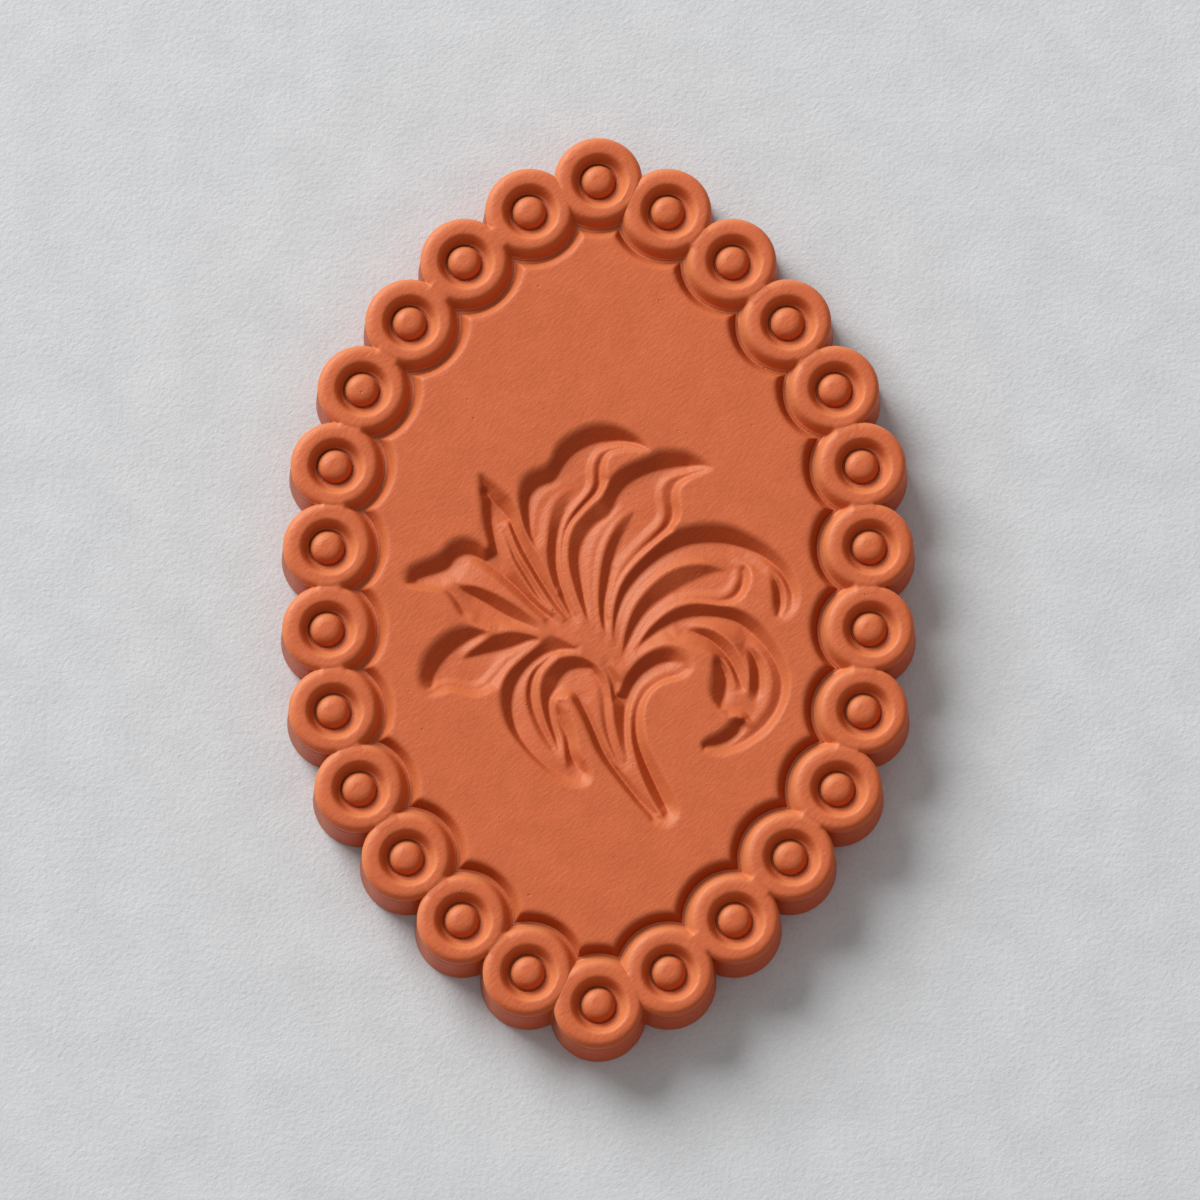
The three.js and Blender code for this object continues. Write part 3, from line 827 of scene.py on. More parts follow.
# %% Second petal
line([0, 0, 0, 1, 8, 15, 18, 20, 20, 20, 22],
    (713, 465), (706, 458), (697, 452), (686, 447.5), (672, 446), (658, 447.5), (648, 452.5),
    (640, 456), (630, 460), (618, 467), (609, 477), (603.5, 488), (599.5, 494.5), (591.5, 501.5),
    (582, 511), (573, 521.5), (568, 533), (566, 547), (566.5, 561), (569.5, 575), (575, 592),
    (581, 608), (584.5, 618))
line([4, 50, 62, 63, 62, 61, 60, 59, 57, 52, 26],
    (712, 466), (700, 464), (682, 464.5), (668, 466), (655, 468.5), (640, 474), (627, 483),
    (618, 494), (614, 504), (608, 514), (598, 520), (589, 529), (582.5, 541), (579.5, 553),
    (579.5, 567), (581.5, 580), (584, 595), (587, 610), (588.5, 622))
line([42, 54, 57, 57, 56, 55, 53, 50],
    (688, 467.6), (674, 470), (663, 474.5), (657, 482), (655, 491), (656, 502), (656, 511),
    (651, 519), (641, 529), (630, 540), (620, 552), (613, 563))
line([2, 26, 35, 38, 38, 37, 36, 35, 34, 30],
    (712, 467), (697, 468), (683, 471), (669.5, 476), (662.5, 484), (661, 492.5), (662.5, 503),
    (663, 513), (660, 522), (651, 532), (640, 543), (627, 557), (617, 571), (611, 586),
    (607.5, 600), (606.5, 614))
line([3, 30, 50, 60, 60, 52, 42, 37, 34, 28],
    (712, 468.3), (698, 471.5), (686, 475.5), (676.5, 480.5), (672.5, 488), (672, 497),
    (673.5, 506), (673, 515), (667.5, 525), (657, 535), (643, 546.5), (630.5, 559.5), (620.5, 573),
    (614.5, 586), (610.5, 600), (609, 615))
line([0],
    (713, 470), (699, 475), (689, 479.5), (682, 485.5), (679, 493), (679, 501), (680, 509),
    (679.5, 517), (675, 525))
line([54, 44, 40, 38, 36, 34, 31, 27],
    (624, 502.5), (615, 510.5), (606, 520.5), (598, 532), (592.5, 546), (590, 562), (588.5, 580),
    (589, 598), (591.5, 613), (593.5, 625))
line([54, 44, 40, 38, 36, 33, 31, 27],
    (629, 504.5), (619.5, 511.5), (610.5, 521.5), (602, 534), (596.5, 548), (593.5, 564),
    (592.5, 580), (593, 598), (595, 613), (597, 625))
count_lines("second petal", 8)

# %% [markdown]
# ### Second petal vein
# One deep vein splits the second petal's floor. It is a V with a steep left side, so one line is
# the edge and one is the bottom, and the vein fades where both come up to the floor.

# %% Second petal vein
line([54, 38, 27, 22, 20, 20, 20, 20, 22],
    (635, 507), (625, 513), (616.5, 521.5), (609.5, 533), (604.5, 545), (601, 558), (598.5, 575),
    (597.5, 590), (598, 605), (599.5, 618), (601.5, 628))
line([56, 58, 58, 58, 57, 55, 50, 26],
    (633, 511), (629, 521), (623, 532), (618, 543), (614, 556), (610.5, 570), (608, 585),
    (605.5, 597), (604.5, 610), (604.7, 621), (605.5, 632))
count_lines("second petal vein", 2)

# %% [markdown]
# ### Arc petal
# The longest petal rises from the middle and bends over to the right like an arch. Its outer wall
# is the widest shaded band on the plaque. The floor is low at the wall and comes up again towards
# the tip, where a small pocket is cut beside a thin ridge.

# %% Arc petal
line([22, 20, 18, 9, 0, 0, 0, 0, 0],
    (612, 638), (612, 622), (614, 605), (618, 588), (626, 573), (638, 559), (652, 545.5),
    (665, 534.5), (680, 526), (700, 520.5), (718, 520.5), (735, 524), (750, 531), (765, 540.5),
    (779, 551.5), (790, 564), (797.5, 580), (800, 596), (796, 611), (785, 621))
line([28, 50, 60, 64, 65, 65, 64, 55, 42, 36, 10],
    (613.5, 636), (616, 618), (620, 603), (627, 589), (637, 576), (648, 565), (660, 555.5),
    (673, 548.5), (690, 542.5), (707, 540.5), (725, 541), (742, 545), (757, 551), (770, 559.5),
    (781, 569.5), (789, 582), (792.5, 595), (790, 607), (782, 617))
line([54, 36, 24, 20, 20, 12],
    (745, 552), (757, 557.5), (768, 565), (776.5, 574), (782, 583.5), (784.5, 594), (784, 604),
    (780.5, 613))
line([30, 38, 44, 48, 50, 52, 54],
    (616.5, 634), (619, 618), (625, 602.5), (636, 585.5), (650, 571), (666, 560.5), (684, 554.5),
    (701, 553), (716, 555), (728, 558))
line([30, 36, 40, 42, 42, 44, 54],
    (618, 640), (621, 621), (627.5, 604), (638, 588.5), (652, 575), (667, 565), (684, 559),
    (700, 557.3), (715, 559.5), (727, 563))
line([20, 34, 48, 48, 20],
    (769, 570), (775.5, 577), (780, 588), (781, 599), (780.5, 608), (777.5, 615))
line([26, 10, 2, 0, 3],
    (764, 571), (769, 581), (770.5, 594), (771, 606), (774, 617))
count_lines("arc petal", 7)

# %% [markdown]
# ### Arc petal vein
# Below the arch lies a long sickle with a deep upper side, and its right end curls round into a
# small hook. The gutter in that hook is only half a millimetre wide, so its lines are set closer
# together.

# %% Arc petal vein
line([26, 22, 18, 18, 18, 20, 30, 54],
    (621, 653), (623, 638), (627, 621), (634, 604), (645, 588.5), (658, 576), (672, 567),
    (686, 562.5), (700, 561), (713, 562.5), (726, 567))
line([30, 50, 56, 60, 62, 62, 60, 56],
    (623, 654), (630, 636), (638, 621), (649, 607), (661, 597.5), (674, 589), (687, 581.5),
    (700, 575.5), (712, 571), (725, 569.3))
line([57, 56, 54, 54, 55],
    (678, 592), (692, 588), (706, 587.5), (718, 587), (726, 582), (730, 575), (732, 567))
line([30, 40, 42, 42, 40, 38, 38, 38, 38, 44],
    (627, 650), (635.5, 635), (645, 621), (657, 609), (670, 600), (686, 594.5), (702, 594),
    (717, 595), (727, 592), (733.5, 584.5), (736.5, 575), (737.5, 566.5))
line([30, 40, 40, 39, 38, 38, 42, 52, 58, 54],
    (629, 650), (638, 635.5), (647.5, 622), (659, 611), (672, 602), (687, 597), (702, 597),
    (718, 599), (731, 597), (739.5, 590), (743, 582), (744, 574.5), (743, 568))
line([42, 26, 10, 3, 6, 12, 18],
    (741, 560.5), (747.5, 564), (751, 571.5), (750.5, 581), (746.5, 591), (738.5, 599.5),
    (727, 602.5))
line([54, 50, 40, 30],
    (735, 553.5), (744, 557.5), (753, 562.5), (760, 569))
count_lines("arc petal vein", 7)

# %% [markdown]
# ### Outer curl
# The outer curl starts at the middle, runs to the right, and turns down and back to the left. One
# line follows its whole outer edge, one the bottom of its channel and one the soft ridge inside
# that.

# %% Outer curl
line([26, 22, 18, 18, 10, 0, 0, 0, 0, 0, 0, 0, 0],
    (634, 648), (643.5, 632.5), (655.5, 619), (668.5, 609), (681, 603.3), (694, 601), (707, 601.5),
    (720, 603.5), (733, 606), (748, 612), (763, 623.5), (775, 640), (784, 658), (789, 676),
    (787.5, 695), (780, 714), (768, 730), (752, 742.5), (734, 751.5), (716, 755.5), (701, 752))
line([30, 54, 60, 64, 65, 65, 60, 50, 48, 50, 48, 44, 42, 36, 10],
    (636, 648), (648, 636), (660, 627.5), (674, 620), (688, 615.7), (704, 614), (720, 615),
    (735, 619), (750, 628.5), (763, 642), (773, 655), (779, 668), (782, 681), (780, 696),
    (773.5, 711), (762.5, 724.5), (749.5, 735), (735, 743), (720, 747), (706, 748.5))
line([50, 34, 28, 28, 28, 28, 30, 34, 38],
    (746, 637), (756, 648), (764.5, 660), (769.5, 673), (770, 687), (766.5, 701), (758.5, 714),
    (751, 723), (742.5, 731.5), (733, 739), (722, 744.5))
count_lines("outer curl", 3)

# %% [markdown]
# ### Curl blades
# Inside the curl lie three short blades and, at its end, a small pocket. They overlap like
# shavings: each has a sharp edge on one side and slides under its neighbour on the other. The lines
# are given from the inner blade's edge to the end pocket.

# %% Curl blades
line([50, 34, 24, 20, 20, 22, 28, 36],
    (686, 624.5), (697, 624.3), (709, 626.3), (721, 633), (732, 643), (739, 655), (743.3, 668),
    (744.5, 681))
line([52, 60, 64, 63, 60, 50],
    (686, 629), (699, 632.5), (711, 638.5), (722, 648), (731, 659.5), (737.5, 672), (742, 684.5))
line([24, 12, 8, 8, 10],
    (676, 638), (688, 641.5), (698, 646.5), (706, 650), (711, 653))
line([38, 36, 34, 35, 38, 40],
    (717, 650.5), (724, 658), (729.5, 669), (733, 681), (734, 692), (731, 702))
line([42, 30, 22, 22, 30, 34],
    (744, 645), (747, 656), (748, 670), (747, 684), (746, 694), (748, 700))
line([48, 62, 65, 62, 36],
    (749.5, 647), (756, 658.5), (759.3, 671), (759, 686), (755, 696), (750.5, 701))
line([5, 0, 0, 0, 3],
    (711, 655), (710.5, 663), (709, 672), (707.5, 682), (707.5, 693), (711.5, 702), (719, 709.5))
line([12, 50, 60, 60, 60, 52, 32],
    (714, 655), (720, 661), (725, 670), (726.8, 680), (724.5, 692), (721, 701), (721, 706))
line([0],
    (700, 741), (707, 734.5), (716, 730), (724, 723.5), (729, 717.5), (735, 715), (741, 717))
line([26, 24, 22],
    (723, 706.5), (733, 710), (741, 713.5), (745.5, 719.5))
line([30, 50, 57, 57, 50],
    (704, 744), (717, 742.5), (729, 738), (738, 730.5), (741, 721.5))
line([0],
    (686, 648), (697, 652), (705, 656))
line([44, 40, 38, 37, 37, 37],
    (754.5, 648.5), (761, 658), (764, 671), (764, 686), (760.5, 698), (753, 709))
line([40, 41, 41, 40],
    (725.5, 702), (735, 704.5), (744, 708), (749.5, 714))
count_lines("curl blades", 14)

# %% [markdown]
# ### Hook leaf
# A leaf with a hooked end runs up from the stem. It is cut deep under the hook, and its right side
# is a rib with a gutter beside it that goes down all the way to the foot of the stem.

# %% Hook leaf
line([26, 24, 26, 28, 32],
    (610.3, 694), (611, 708), (613, 724), (617, 741), (622.5, 757))
line([26, 16, 10, 4, 0, 0, 0, 0, 0, 0, 0, 0, 0, 0, 0, 0],
    (617, 690), (621, 682.5), (627, 672), (635, 661), (646, 651.5), (657, 646), (669, 643.5),
    (680, 645.5), (688.5, 652), (693.5, 661), (692, 670), (684, 677), (671, 680.5), (660, 684),
    (652.5, 690), (646.5, 699), (643.5, 711), (643, 723), (645.5, 738), (651, 751), (660, 767),
    (668, 782), (675, 796), (679, 809), (674, 822), (662, 827), (650, 822))
line([36, 50, 60, 64, 65, 65, 56, 20],
    (627, 757), (625.5, 738), (625, 720), (626, 705), (630, 690), (635.5, 680), (643, 671),
    (654, 664), (666, 660), (677, 660.5), (685, 661))
line([26, 36, 38, 34, 30, 26, 22, 20, 18, 18, 16],
    (683, 664.5), (674, 668.5), (662, 671.5), (651, 676.5), (640.5, 686), (634, 698), (630, 710),
    (628.5, 723), (629.5, 738), (633, 751), (637, 764), (642, 778), (648, 791), (654, 802),
    (659, 811))
line([22, 38, 42, 44, 46, 50, 54, 58, 60, 56, 20],
    (687, 668), (677, 673.5), (665, 677), (655.5, 682), (646.5, 690), (640, 700), (637, 711),
    (636.5, 724), (638.5, 739), (643, 753), (649.5, 768), (656.5, 783), (663, 797), (667.5, 808),
    (663, 818))
count_lines("hook leaf", 5)

# %% [markdown]
# ### Strap
# The stem's left side is a strap with a steep left edge and a fine gutter near its right side. The
# gutter needs a line on each side, because a single line would make a crease with no width.

# %% Strap
line([2, 0, 0, 0, 0, 0, 0],
    (569, 696), (572, 703), (579, 716), (586, 731), (593, 748), (603, 764), (616, 780), (630, 797),
    (644, 814))
line([48, 50, 52, 54, 54, 50, 30],
    (579, 696), (583, 704), (589.5, 717), (596, 732), (603, 748), (612.5, 763), (625, 780),
    (638.5, 797), (648, 808), (653, 815))
line([38, 36, 36, 36, 34, 30],
    (588, 702), (594.5, 718), (601.5, 735), (610, 752), (620, 767), (634, 784), (646, 800),
    (655, 811))
line([22, 22, 24, 26],
    (590, 660), (598.5, 667.5), (605.5, 679), (609.3, 691))
line([20, 28, 36, 44, 52],
    (601, 657), (606.5, 665), (611.5, 675), (614.5, 685), (616, 694))
line([52, 48, 48, 48, 46, 40],
    (597, 673), (602.5, 685), (604.8, 700), (606, 716), (609, 732), (614, 747), (620, 761))
line([50, 38, 34, 34, 33, 32],
    (590, 672), (595.5, 685), (598, 701), (600, 718), (604, 735), (609.5, 750), (616, 763))
count_lines("strap", 7)

# %% [markdown]
# ### Curling petal
# The petal on the lower left sweeps out and down and ends in a rounded toe. It has a wide channel,
# a ridge along the inside of the channel and a second, narrower channel next to that.

# %% Curling petal
line([20, 20, 20, 18, 10, 2, 0, 0, 0, 0, 0, 0, 0],
    (574, 645), (565, 638.5), (556, 634.5), (548, 634.5), (540.5, 639), (532, 647.5), (520, 657.5),
    (508.5, 669), (502, 680), (499, 692), (499.5, 706), (503, 719), (509.5, 732), (519, 744.5),
    (530, 757), (542, 769), (556, 779), (571, 785.5), (584, 786), (592, 778), (590, 766))
line([30, 54, 60, 60, 58, 54, 50, 40, 34, 34, 34, 30],
    (575, 647), (562, 648), (551, 650), (540, 655), (530, 663), (521, 674), (515, 686), (512, 700),
    (512.5, 713), (516, 727), (523, 740), (533, 752), (545, 763), (558, 770.5), (570, 775),
    (580, 776), (586, 771))
line([28, 30, 32, 34, 34, 30, 28, 30],
    (560, 650.5), (547, 655.5), (535.5, 664), (528, 675), (525, 688), (526, 703), (530.5, 719),
    (537.5, 733), (546, 746), (555, 757), (565, 767))
line([38, 46, 54, 56, 54, 52, 48, 40],
    (553, 653), (543, 661.5), (535, 672), (531.5, 685), (532.2, 700), (536, 712), (541, 724),
    (547, 735), (553.5, 746))
count_lines("curling petal", 4)

# %% [markdown]
# ### Curl pocket
# The same petal turns over at the top, and a deep pocket opens under the turn. A second short
# groove runs down beside the pocket to the toe.

# %% Curl pocket
line([22, 17, 15, 17, 20, 26, 30, 34, 34],
    (590, 660), (581, 655.5), (570, 653.5), (558.5, 656), (549, 663.5), (541.5, 673), (538.5, 686),
    (539.5, 699), (542.5, 712), (547, 725), (552, 737), (556, 749))
line([46, 60, 64, 64, 62, 60, 58, 54, 36],
    (592, 665.5), (583, 665), (573, 666.5), (565.5, 671), (560, 678.5), (556, 686), (552, 693),
    (549.7, 701), (550.5, 712), (553, 724), (556.8, 736), (558.3, 748))
line([32, 40, 40, 30, 24, 24],
    (553.3, 701), (553.7, 712), (556.5, 724), (561, 736), (563.5, 749), (565, 761))
line([20, 44, 52, 50, 48, 52, 40],
    (556.5, 701), (558.5, 710), (562.5, 722), (568, 735), (571, 750), (576, 761), (581, 768))
line([30, 6, 2, 0, 0, 0],
    (553, 698), (560, 701), (567, 709), (573, 721), (577, 735), (578.5, 748), (583, 757),
    (590, 763))
line([50, 50, 50, 48],
    (556, 690.5), (562, 687), (568, 687), (574, 689.5))
line([14, 6, 4],
    (557, 698), (562.5, 697), (567.5, 699))
count_lines("curl pocket", 7)

# %% [markdown]
# ### Small lobe
# At the upper left a short pointed lobe looks out between its neighbours. Several thin strands run
# from it to the middle of the flower. They lie almost along the light, so only steep little sides
# make them readable, and the lines alternate between crest and valley at close spacing.

# %% Small lobe
line([2, 0, 0, 0, 0, 0, 0, 4],
    (517, 506), (512, 496), (503, 487.5), (492, 479), (483, 472.5), (478, 473), (476.5, 481),
    (478, 498), (480, 518), (483, 531), (487, 542))
line([20, 48, 50, 50, 52, 54, 56],
    (482, 478), (488, 490), (490, 504), (491, 519), (494, 536), (497, 548), (500, 559), (502, 567))
line([58, 58, 56, 46, 28],
    (501, 572), (508, 578), (515, 584), (532, 601), (545, 612), (560, 624))
line([50, 60, 58, 52, 50, 54, 54, 50, 42, 26],
    (486, 490.5), (494.5, 501), (502.5, 508.5), (509, 517), (514, 528), (519.5, 540), (525, 551),
    (533.5, 566), (540, 577), (547, 587), (556, 601.5), (565, 612), (571, 619), (577.5, 627))
line([44, 30, 24, 22, 24, 26, 24],
    (497, 522), (502, 534), (507, 547), (512, 560), (522, 577), (536, 597), (550, 610))
line([38, 38, 40, 44, 42, 28],
    (504, 528), (511, 544), (516.5, 557), (527, 574), (539, 594), (549, 605))
line([34, 24, 22, 22, 24, 22],
    (508, 522), (514, 542), (520, 555), (530, 571), (542, 591), (552, 604), (562, 616))
line([22, 22, 22, 22, 20],
    (536, 549), (541, 559.5), (546.5, 571), (551, 582), (557, 593))
count_lines("small lobe", 8)

# %% [markdown]
# ### Left leaf
# The left leaf has a wavy upper edge, a flat floor and one strong vein. The upper side of the vein
# is a broad rounded rib, which carries on into the middle.

# %% Left leaf
line([0, 0, 0, 0, 0, 5],
    (402, 582), (399, 575), (404, 567), (416, 559.5), (430, 554), (440, 549), (447, 541),
    (456, 535.5), (467, 534.5), (478, 539), (486.5, 546))
line([5, 52, 60, 62, 60, 58, 56, 56, 56],
    (404, 580), (412, 580), (425, 575), (440, 570), (449, 566), (453.5, 558.5), (462, 553.5),
    (471, 553), (480, 556.5), (488, 562.5), (495, 568))
line([38, 26, 20, 18, 17, 18, 20],
    (470, 561), (480, 566.5), (488, 572), (496, 577.5), (510, 589.5), (528, 605), (542, 617))
line([0],
    (402, 585), (418, 588.5), (432, 590.5), (441, 593.5), (448, 600), (453, 608), (458, 616),
    (464, 621))
line([10, 40, 42, 34, 26, 30, 30, 26, 12],
    (405, 582), (418, 582), (431, 583.5), (441, 586), (449, 591), (456, 599), (460.5, 607),
    (464, 613.5), (470, 618.5))
line([30, 16, 10, 10, 12, 16, 20],
    (452, 580), (463, 582.5), (478, 585.5), (493, 591), (508, 599), (523, 608.5), (538, 620),
    (548, 628))
line([34, 52, 58, 58, 54, 40, 22],
    (458, 587), (472, 593.5), (486, 601), (500, 609.5), (514, 617), (527, 623), (540, 628.5))
line([38, 46, 48, 44, 30],
    (468, 607), (482, 612), (496, 616.5), (510, 621), (524, 625.8))
count_lines("left leaf", 8)

# %% [markdown]
# ### Low leaf
# The lower left leaf is short and wide with two deep cuts. Its lower edge folds back like that of
# the upper petals, again with a gutter and a lip.

# %% Low leaf
line([0, 0, 0, 0, 4, 8],
    (425, 697), (419, 691), (417, 677), (419, 661), (426, 647), (435, 637), (445, 629.5),
    (456, 624.5), (468, 624), (480, 627), (490, 629.5))
line([5, 52, 60, 62, 60, 50, 10],
    (426, 692), (431, 683), (436, 670.5), (443, 660), (452, 650.5), (463, 642.5), (475, 635.5),
    (488, 631))
line([54, 34, 20, 12, 10, 12, 16, 20],
    (461, 655), (472, 646.5), (483, 639.5), (494, 633.5), (505, 629.5), (515, 629), (527, 631.5),
    (539, 636))
line([56, 60, 62, 62, 56, 44, 26],
    (463, 657.5), (475, 653.5), (490, 650), (505, 647), (518, 643.5), (529, 639), (539, 637.5))
line([40, 54, 56, 56, 54, 52, 50, 50],
    (431, 686), (438, 678.5), (447, 675.5), (457, 676), (468, 678.5), (477, 677.5), (485, 671.5),
    (493, 662), (503, 652.5), (514, 647))
line([10, 36, 40, 40, 38, 37, 36, 36, 28],
    (428, 690.5), (435, 685), (443, 681.5), (452, 680.5), (462, 682.5), (474, 684.5), (483, 681),
    (491.5, 672.5), (500, 662), (510, 652.5), (522, 645.5), (535, 640.5))
line([8, 34, 40, 40, 38, 36, 34, 32, 26],
    (428, 693.5), (437, 688), (445, 684.5), (454, 684), (464, 686.5), (476, 688), (486, 684.5),
    (495, 675.5), (504, 665), (514, 655), (526, 647), (538, 641))
line([0],
    (426, 699), (437, 696), (446, 692), (455, 691.5), (465, 694), (478, 695.5), (490, 692))
count_lines("low leaf", 8)

# %% [markdown]
# ### Hub
# All petals meet a little below the middle. The meeting point lies 0.2 mm under the panel, so a few
# short lines at that depth keep the surface calm there.

# %% Hub
line([24],
    (568, 634), (580, 636), (592, 637), (602, 641), (611, 648))
line([20],
    (584, 641), (595, 645), (606, 650), (612, 658))
line([16, 16],
    (613, 664), (618, 672))
count_lines("hub", 3)

# %% [markdown]
# ## From lines to a carved surface
# The lines are now turned into a landscape. First each one is smoothed: a curve passes through all
# its points, and its depths are spread evenly along the length. A frame of points at panel height
# stands round the flower, so that the landscape ends flat.

# %% Smooth lines with a depth
POINT_SPACING = 1.5
FIELD_LEFT, FIELD_TOP, FIELD_RIGHT, FIELD_BOTTOM = 385.0, 405.0, 810.0, 840.0
FRAME_ACROSS, FRAME_DOWN = 17.0, 14.5


def smooth_line(depths, points):
    corners = np.array(points, float)
    ends = np.vstack([2 * corners[0] - corners[1], corners, 2 * corners[-1] - corners[-2]])
    line = []
    for a, b, c, d in zip(ends, ends[1:], ends[2:], ends[3:]):
        steps = max(2, int(np.hypot(*(c - b)) / POINT_SPACING))
        for t in np.arange(steps) / steps:
            bend, twist = 2 * a - 5 * b + 4 * c - d, 3 * b - a - 3 * c + d
            line.append(0.5 * (2 * b + (c - a) * t + bend * t**2 + twist * t**3))
    line = np.array([*line, corners[-1]])
    travelled = np.r_[0, np.cumsum(np.hypot(*np.diff(line, axis=0).T))]
    spread = np.linspace(0, travelled[-1], len(depths))
    depth = np.interp(travelled, spread, np.array(depths) / DEPTHS_PER_MM)
    return np.column_stack([line, -depth])


def flower_points():
    lines = [smooth_line(depths, points) for depths, points in FLOWER]
    across = np.arange(FIELD_LEFT, FIELD_RIGHT + 1, FRAME_ACROSS)
    down = np.arange(FIELD_TOP, FIELD_BOTTOM + 1, FRAME_DOWN)
    frame_points = [(x, y, 0.0) for x in across for y in (FIELD_TOP, FIELD_BOTTOM)]
    frame_points += [(x, y, 0.0) for x in (FIELD_LEFT, FIELD_RIGHT) for y in down[1:-1]]
    return np.vstack([*lines, frame_points])


print("points on the smoothed lines:", len(flower_points()))

# %% [markdown]
# ## Triangles between the lines
# The space between lines is spanned by triangles, as a surveyor spans a hillside between measured
# points. The heights inside each triangle are then written into an even field of small steps, which
# is quick to look up later.

# %% Landscape of the flower
FIELD_STEP = 0.5
SAME_SPOT = 1e-4
SLIVER = 1e-9
ON_EDGE = 1e-6


def fill_triangle(field, corner, heights):
    low = np.floor(corner.min(axis=0)).astype(int)
    high = np.ceil(corner.max(axis=0)).astype(int)
    columns, rows = np.meshgrid(np.arange(low[0], high[0] + 1), np.arange(low[1], high[1] + 1))
    (ax, ay), (bx, by), (cx, cy) = corner
    whole = (bx - ax) * (cy - ay) - (cx - ax) * (by - ay)
    if abs(whole) < SLIVER:
        return
    to_b = ((columns - ax) * (cy - ay) - (cx - ax) * (rows - ay)) / whole
    to_c = ((bx - ax) * (rows - ay) - (columns - ax) * (by - ay)) / whole
    inside = (to_b >= -ON_EDGE) & (to_c >= -ON_EDGE) & (to_b + to_c <= 1 + ON_EDGE)
    inside &= (rows < field.shape[0]) & (columns < field.shape[1])
    a, b, c = heights
    field[rows[inside], columns[inside]] = (a + to_b * (b - a) + to_c * (c - a))[inside]


def spread_over_field(points):
    spanned = delaunay_2d_cdt([Vector(p[:2]) for p in points], [], [], 0, SAME_SPOT)
    heights = np.array([points[first[0], 2] for first in spanned[3]])
    places = np.array([tuple(v) for v in spanned[0]])
    width = int((FIELD_RIGHT - FIELD_LEFT) / FIELD_STEP) + 1
    tall = int((FIELD_BOTTOM - FIELD_TOP) / FIELD_STEP) + 1
    field = np.zeros((tall, width))
    for face in spanned[2]:
        corner = (places[list(face)] - (FIELD_LEFT, FIELD_TOP)) / FIELD_STEP
        fill_triangle(field, corner, heights[list(face)])
    return field


flower_field = spread_over_field(flower_points())
print("field of", flower_field.shape, "heights, the lowest", flower_field.min().round(3), "mm")

# %% [markdown]
# ## Soft edges
# Two soft passes finish the landscape. The first lowers only what stands proud, so upper edges are
# rounded and the creases stay crisp. The second is very slight and takes off the last facets. After
# that the field can be asked for its height at any place on the panel.

# %% Softened landscape
FLOWER_UNIT = 0.05336
FLOWER_MIDDLE = (598.0, 586.0)
FLOWER_TALLNESS = 1.027
EDGE_ROUNDING = 0.06
FINAL_SMOOTHING = 0.03


def soften(field, radius):
    sigma = radius / (FLOWER_UNIT * FIELD_STEP)
    reach = int(3 * sigma) + 1
    weight = np.exp(-0.5 * (np.arange(-reach, reach + 1) / sigma) ** 2)
    weight /= weight.sum()
    for axis in (0, 1):
        margins = [(reach, reach) if k == axis else (0, 0) for k in (0, 1)]
        padded = np.pad(field, margins, mode="edge")
        size = field.shape[axis]
        field = sum(
            w * np.take(padded, range(k, k + size), axis=axis) for k, w in enumerate(weight)
        )
    return field


flower_field = np.minimum(flower_field, soften(flower_field, EDGE_ROUNDING))
flower_field = soften(flower_field, FINAL_SMOOTHING)
print("deepest cut, mm:", (-flower_field.min()).round(3))


def flower_depth(x, y):
    column = (x / FLOWER_UNIT + FLOWER_MIDDLE[0] - FIELD_LEFT) / FIELD_STEP
    row = (FLOWER_MIDDLE[1] - y / (FLOWER_UNIT * FLOWER_TALLNESS) - FIELD_TOP) / FIELD_STEP
    tall, width = flower_field.shape
    inside = (column > 0) & (column < width - 2) & (row > 0) & (row < tall - 2)
    column, row = np.clip(column, 0, width - 2), np.clip(row, 0, tall - 2)
    i, j = row.astype(int), column.astype(int)
    u, v = column - j, row - i
    low = flower_field[i, j] * (1 - u) + flower_field[i, j + 1] * u
    high = flower_field[i + 1, j] * (1 - u) + flower_field[i + 1, j + 1] * u
    return np.where(inside, low * (1 - v) + high * v, 0.0)


# %% [markdown]
# ## The panel
# The panel's edge follows every ring at the same distance, with a sharp little point towards each
# gap between rings. Rows that run parallel to that edge keep it clean, so the outermost strip of
# the panel is made of such rows. Inside the strip an even grid takes the flower, and the grid is
# joined to the strip by triangles.

# %% Panel height
CUSP_SOFTNESS = 0.06

panel_profile = smooth_profile([
    (2.8, 0.0), (2.86, 0.05), (2.94, 0.2), (3.03, 0.38), (3.12, 0.515), (3.22, 0.61),
    (3.33, 0.668), (3.46, 0.695), (3.6, PANEL_HEIGHT), (3.9, PANEL_HEIGHT),
])


def carved_height(x, y):
    distance = np.hypot(x[:, None] - CENTRES[:, 0], y[:, None] - CENTRES[:, 1])
    nearest = np.sort(distance, axis=1)[:, :2]
    from_rings = [-panel_profile(nearest[:, k]) for k in (0, 1)]
    return flower_depth(x, y) - soft_larger(*from_rings, CUSP_SOFTNESS)


print("panel height, mm:", panel_profile(np.array([PANEL_FOOT_RADIUS, 3.9])))

# %% [markdown]
# ## The panel's rows and grid
# The grid is laid over the whole panel first and then keeps only the points that are inside the
# ring of centres and clear of the strip. To tell inside from outside, a line to one side is
# followed and its crossings with the border are counted, an odd number for a point inside.

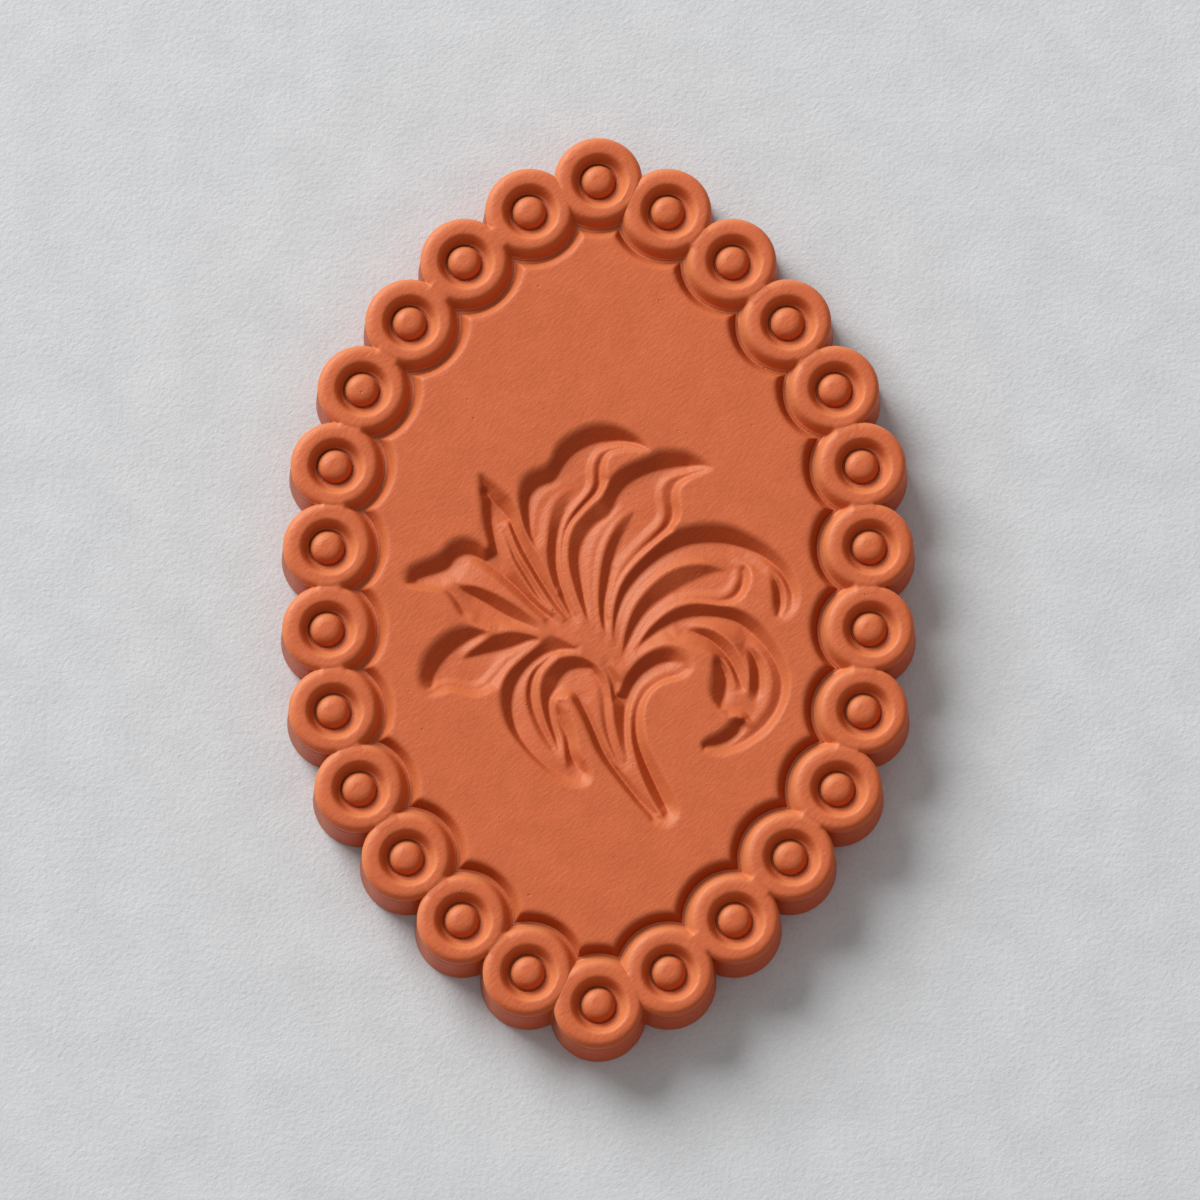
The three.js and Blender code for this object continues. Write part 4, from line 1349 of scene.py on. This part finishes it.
# %% Panel mesh
PANEL_ROWS = 16
PANEL_STEPS = 26
STRIP_RADIUS = 3.55
STRIP_CROWDING = 1.15
GRID_STEP = 0.085
GRID_CLEARANCE = 0.6
GRID_TOLERANCE = 1e-6


def inside_border(x, y):
    crossings = np.zeros(len(x), int)
    for (ax, ay), (bx, by) in zip(CENTRES, NEXT):
        spans = (ay > y) != (by > y)
        with np.errstate(divide="ignore", invalid="ignore"):
            meets = ax + (y - ay) * (bx - ax) / (by - ay)
        crossings += spans & (x < meets)
    return crossings % 2 == 1


def grid_inside(edge):
    sides = [np.arange(edge[:, k].min(), edge[:, k].max(), GRID_STEP) for k in (0, 1)]
    x, y = (side.ravel() for side in np.meshgrid(*sides))
    keep = inside_border(x, y)
    for cx, cy in CENTRES:
        keep &= np.hypot(x - cx, y - cy) > STRIP_RADIUS + GRID_CLEARANCE * GRID_STEP
    return np.column_stack([x[keep], y[keep]])


def panel_mesh():
    shares = np.linspace(0, 1, PANEL_ROWS) ** STRIP_CROWDING
    radii = PANEL_FOOT_RADIUS + (STRIP_RADIUS - PANEL_FOOT_RADIUS) * shares
    loops = [chain_of_arcs(radius, PANEL_STEPS, outside=False) for radius in radii]
    count = len(loops[0])
    strip = np.vstack(loops)
    rise = carved_height(*strip.T)
    rise[:count] = 0.0
    points = [(x, y, SLAB_TOP + z) for (x, y), z in zip(strip, rise)]
    faces = quads_between_rows(0, PANEL_ROWS, count)
    middle = np.vstack([loops[-1], grid_inside(loops[-1])])
    spots, triangles = fill_outline(middle, count, GRID_TOLERANCE)
    add_sheet(points, faces, spots, SLAB_TOP + carved_height(*spots.T), triangles)
    spots, triangles = fill_outline(loops[0], count, CAP_TOLERANCE)
    add_sheet(points, faces, spots, np.full(len(spots), SLAB_TOP), triangles)
    return points, faces


mesh_piece("carved_panel", *panel_mesh(), clay_panel, "clay_panel", ["flower_panel"])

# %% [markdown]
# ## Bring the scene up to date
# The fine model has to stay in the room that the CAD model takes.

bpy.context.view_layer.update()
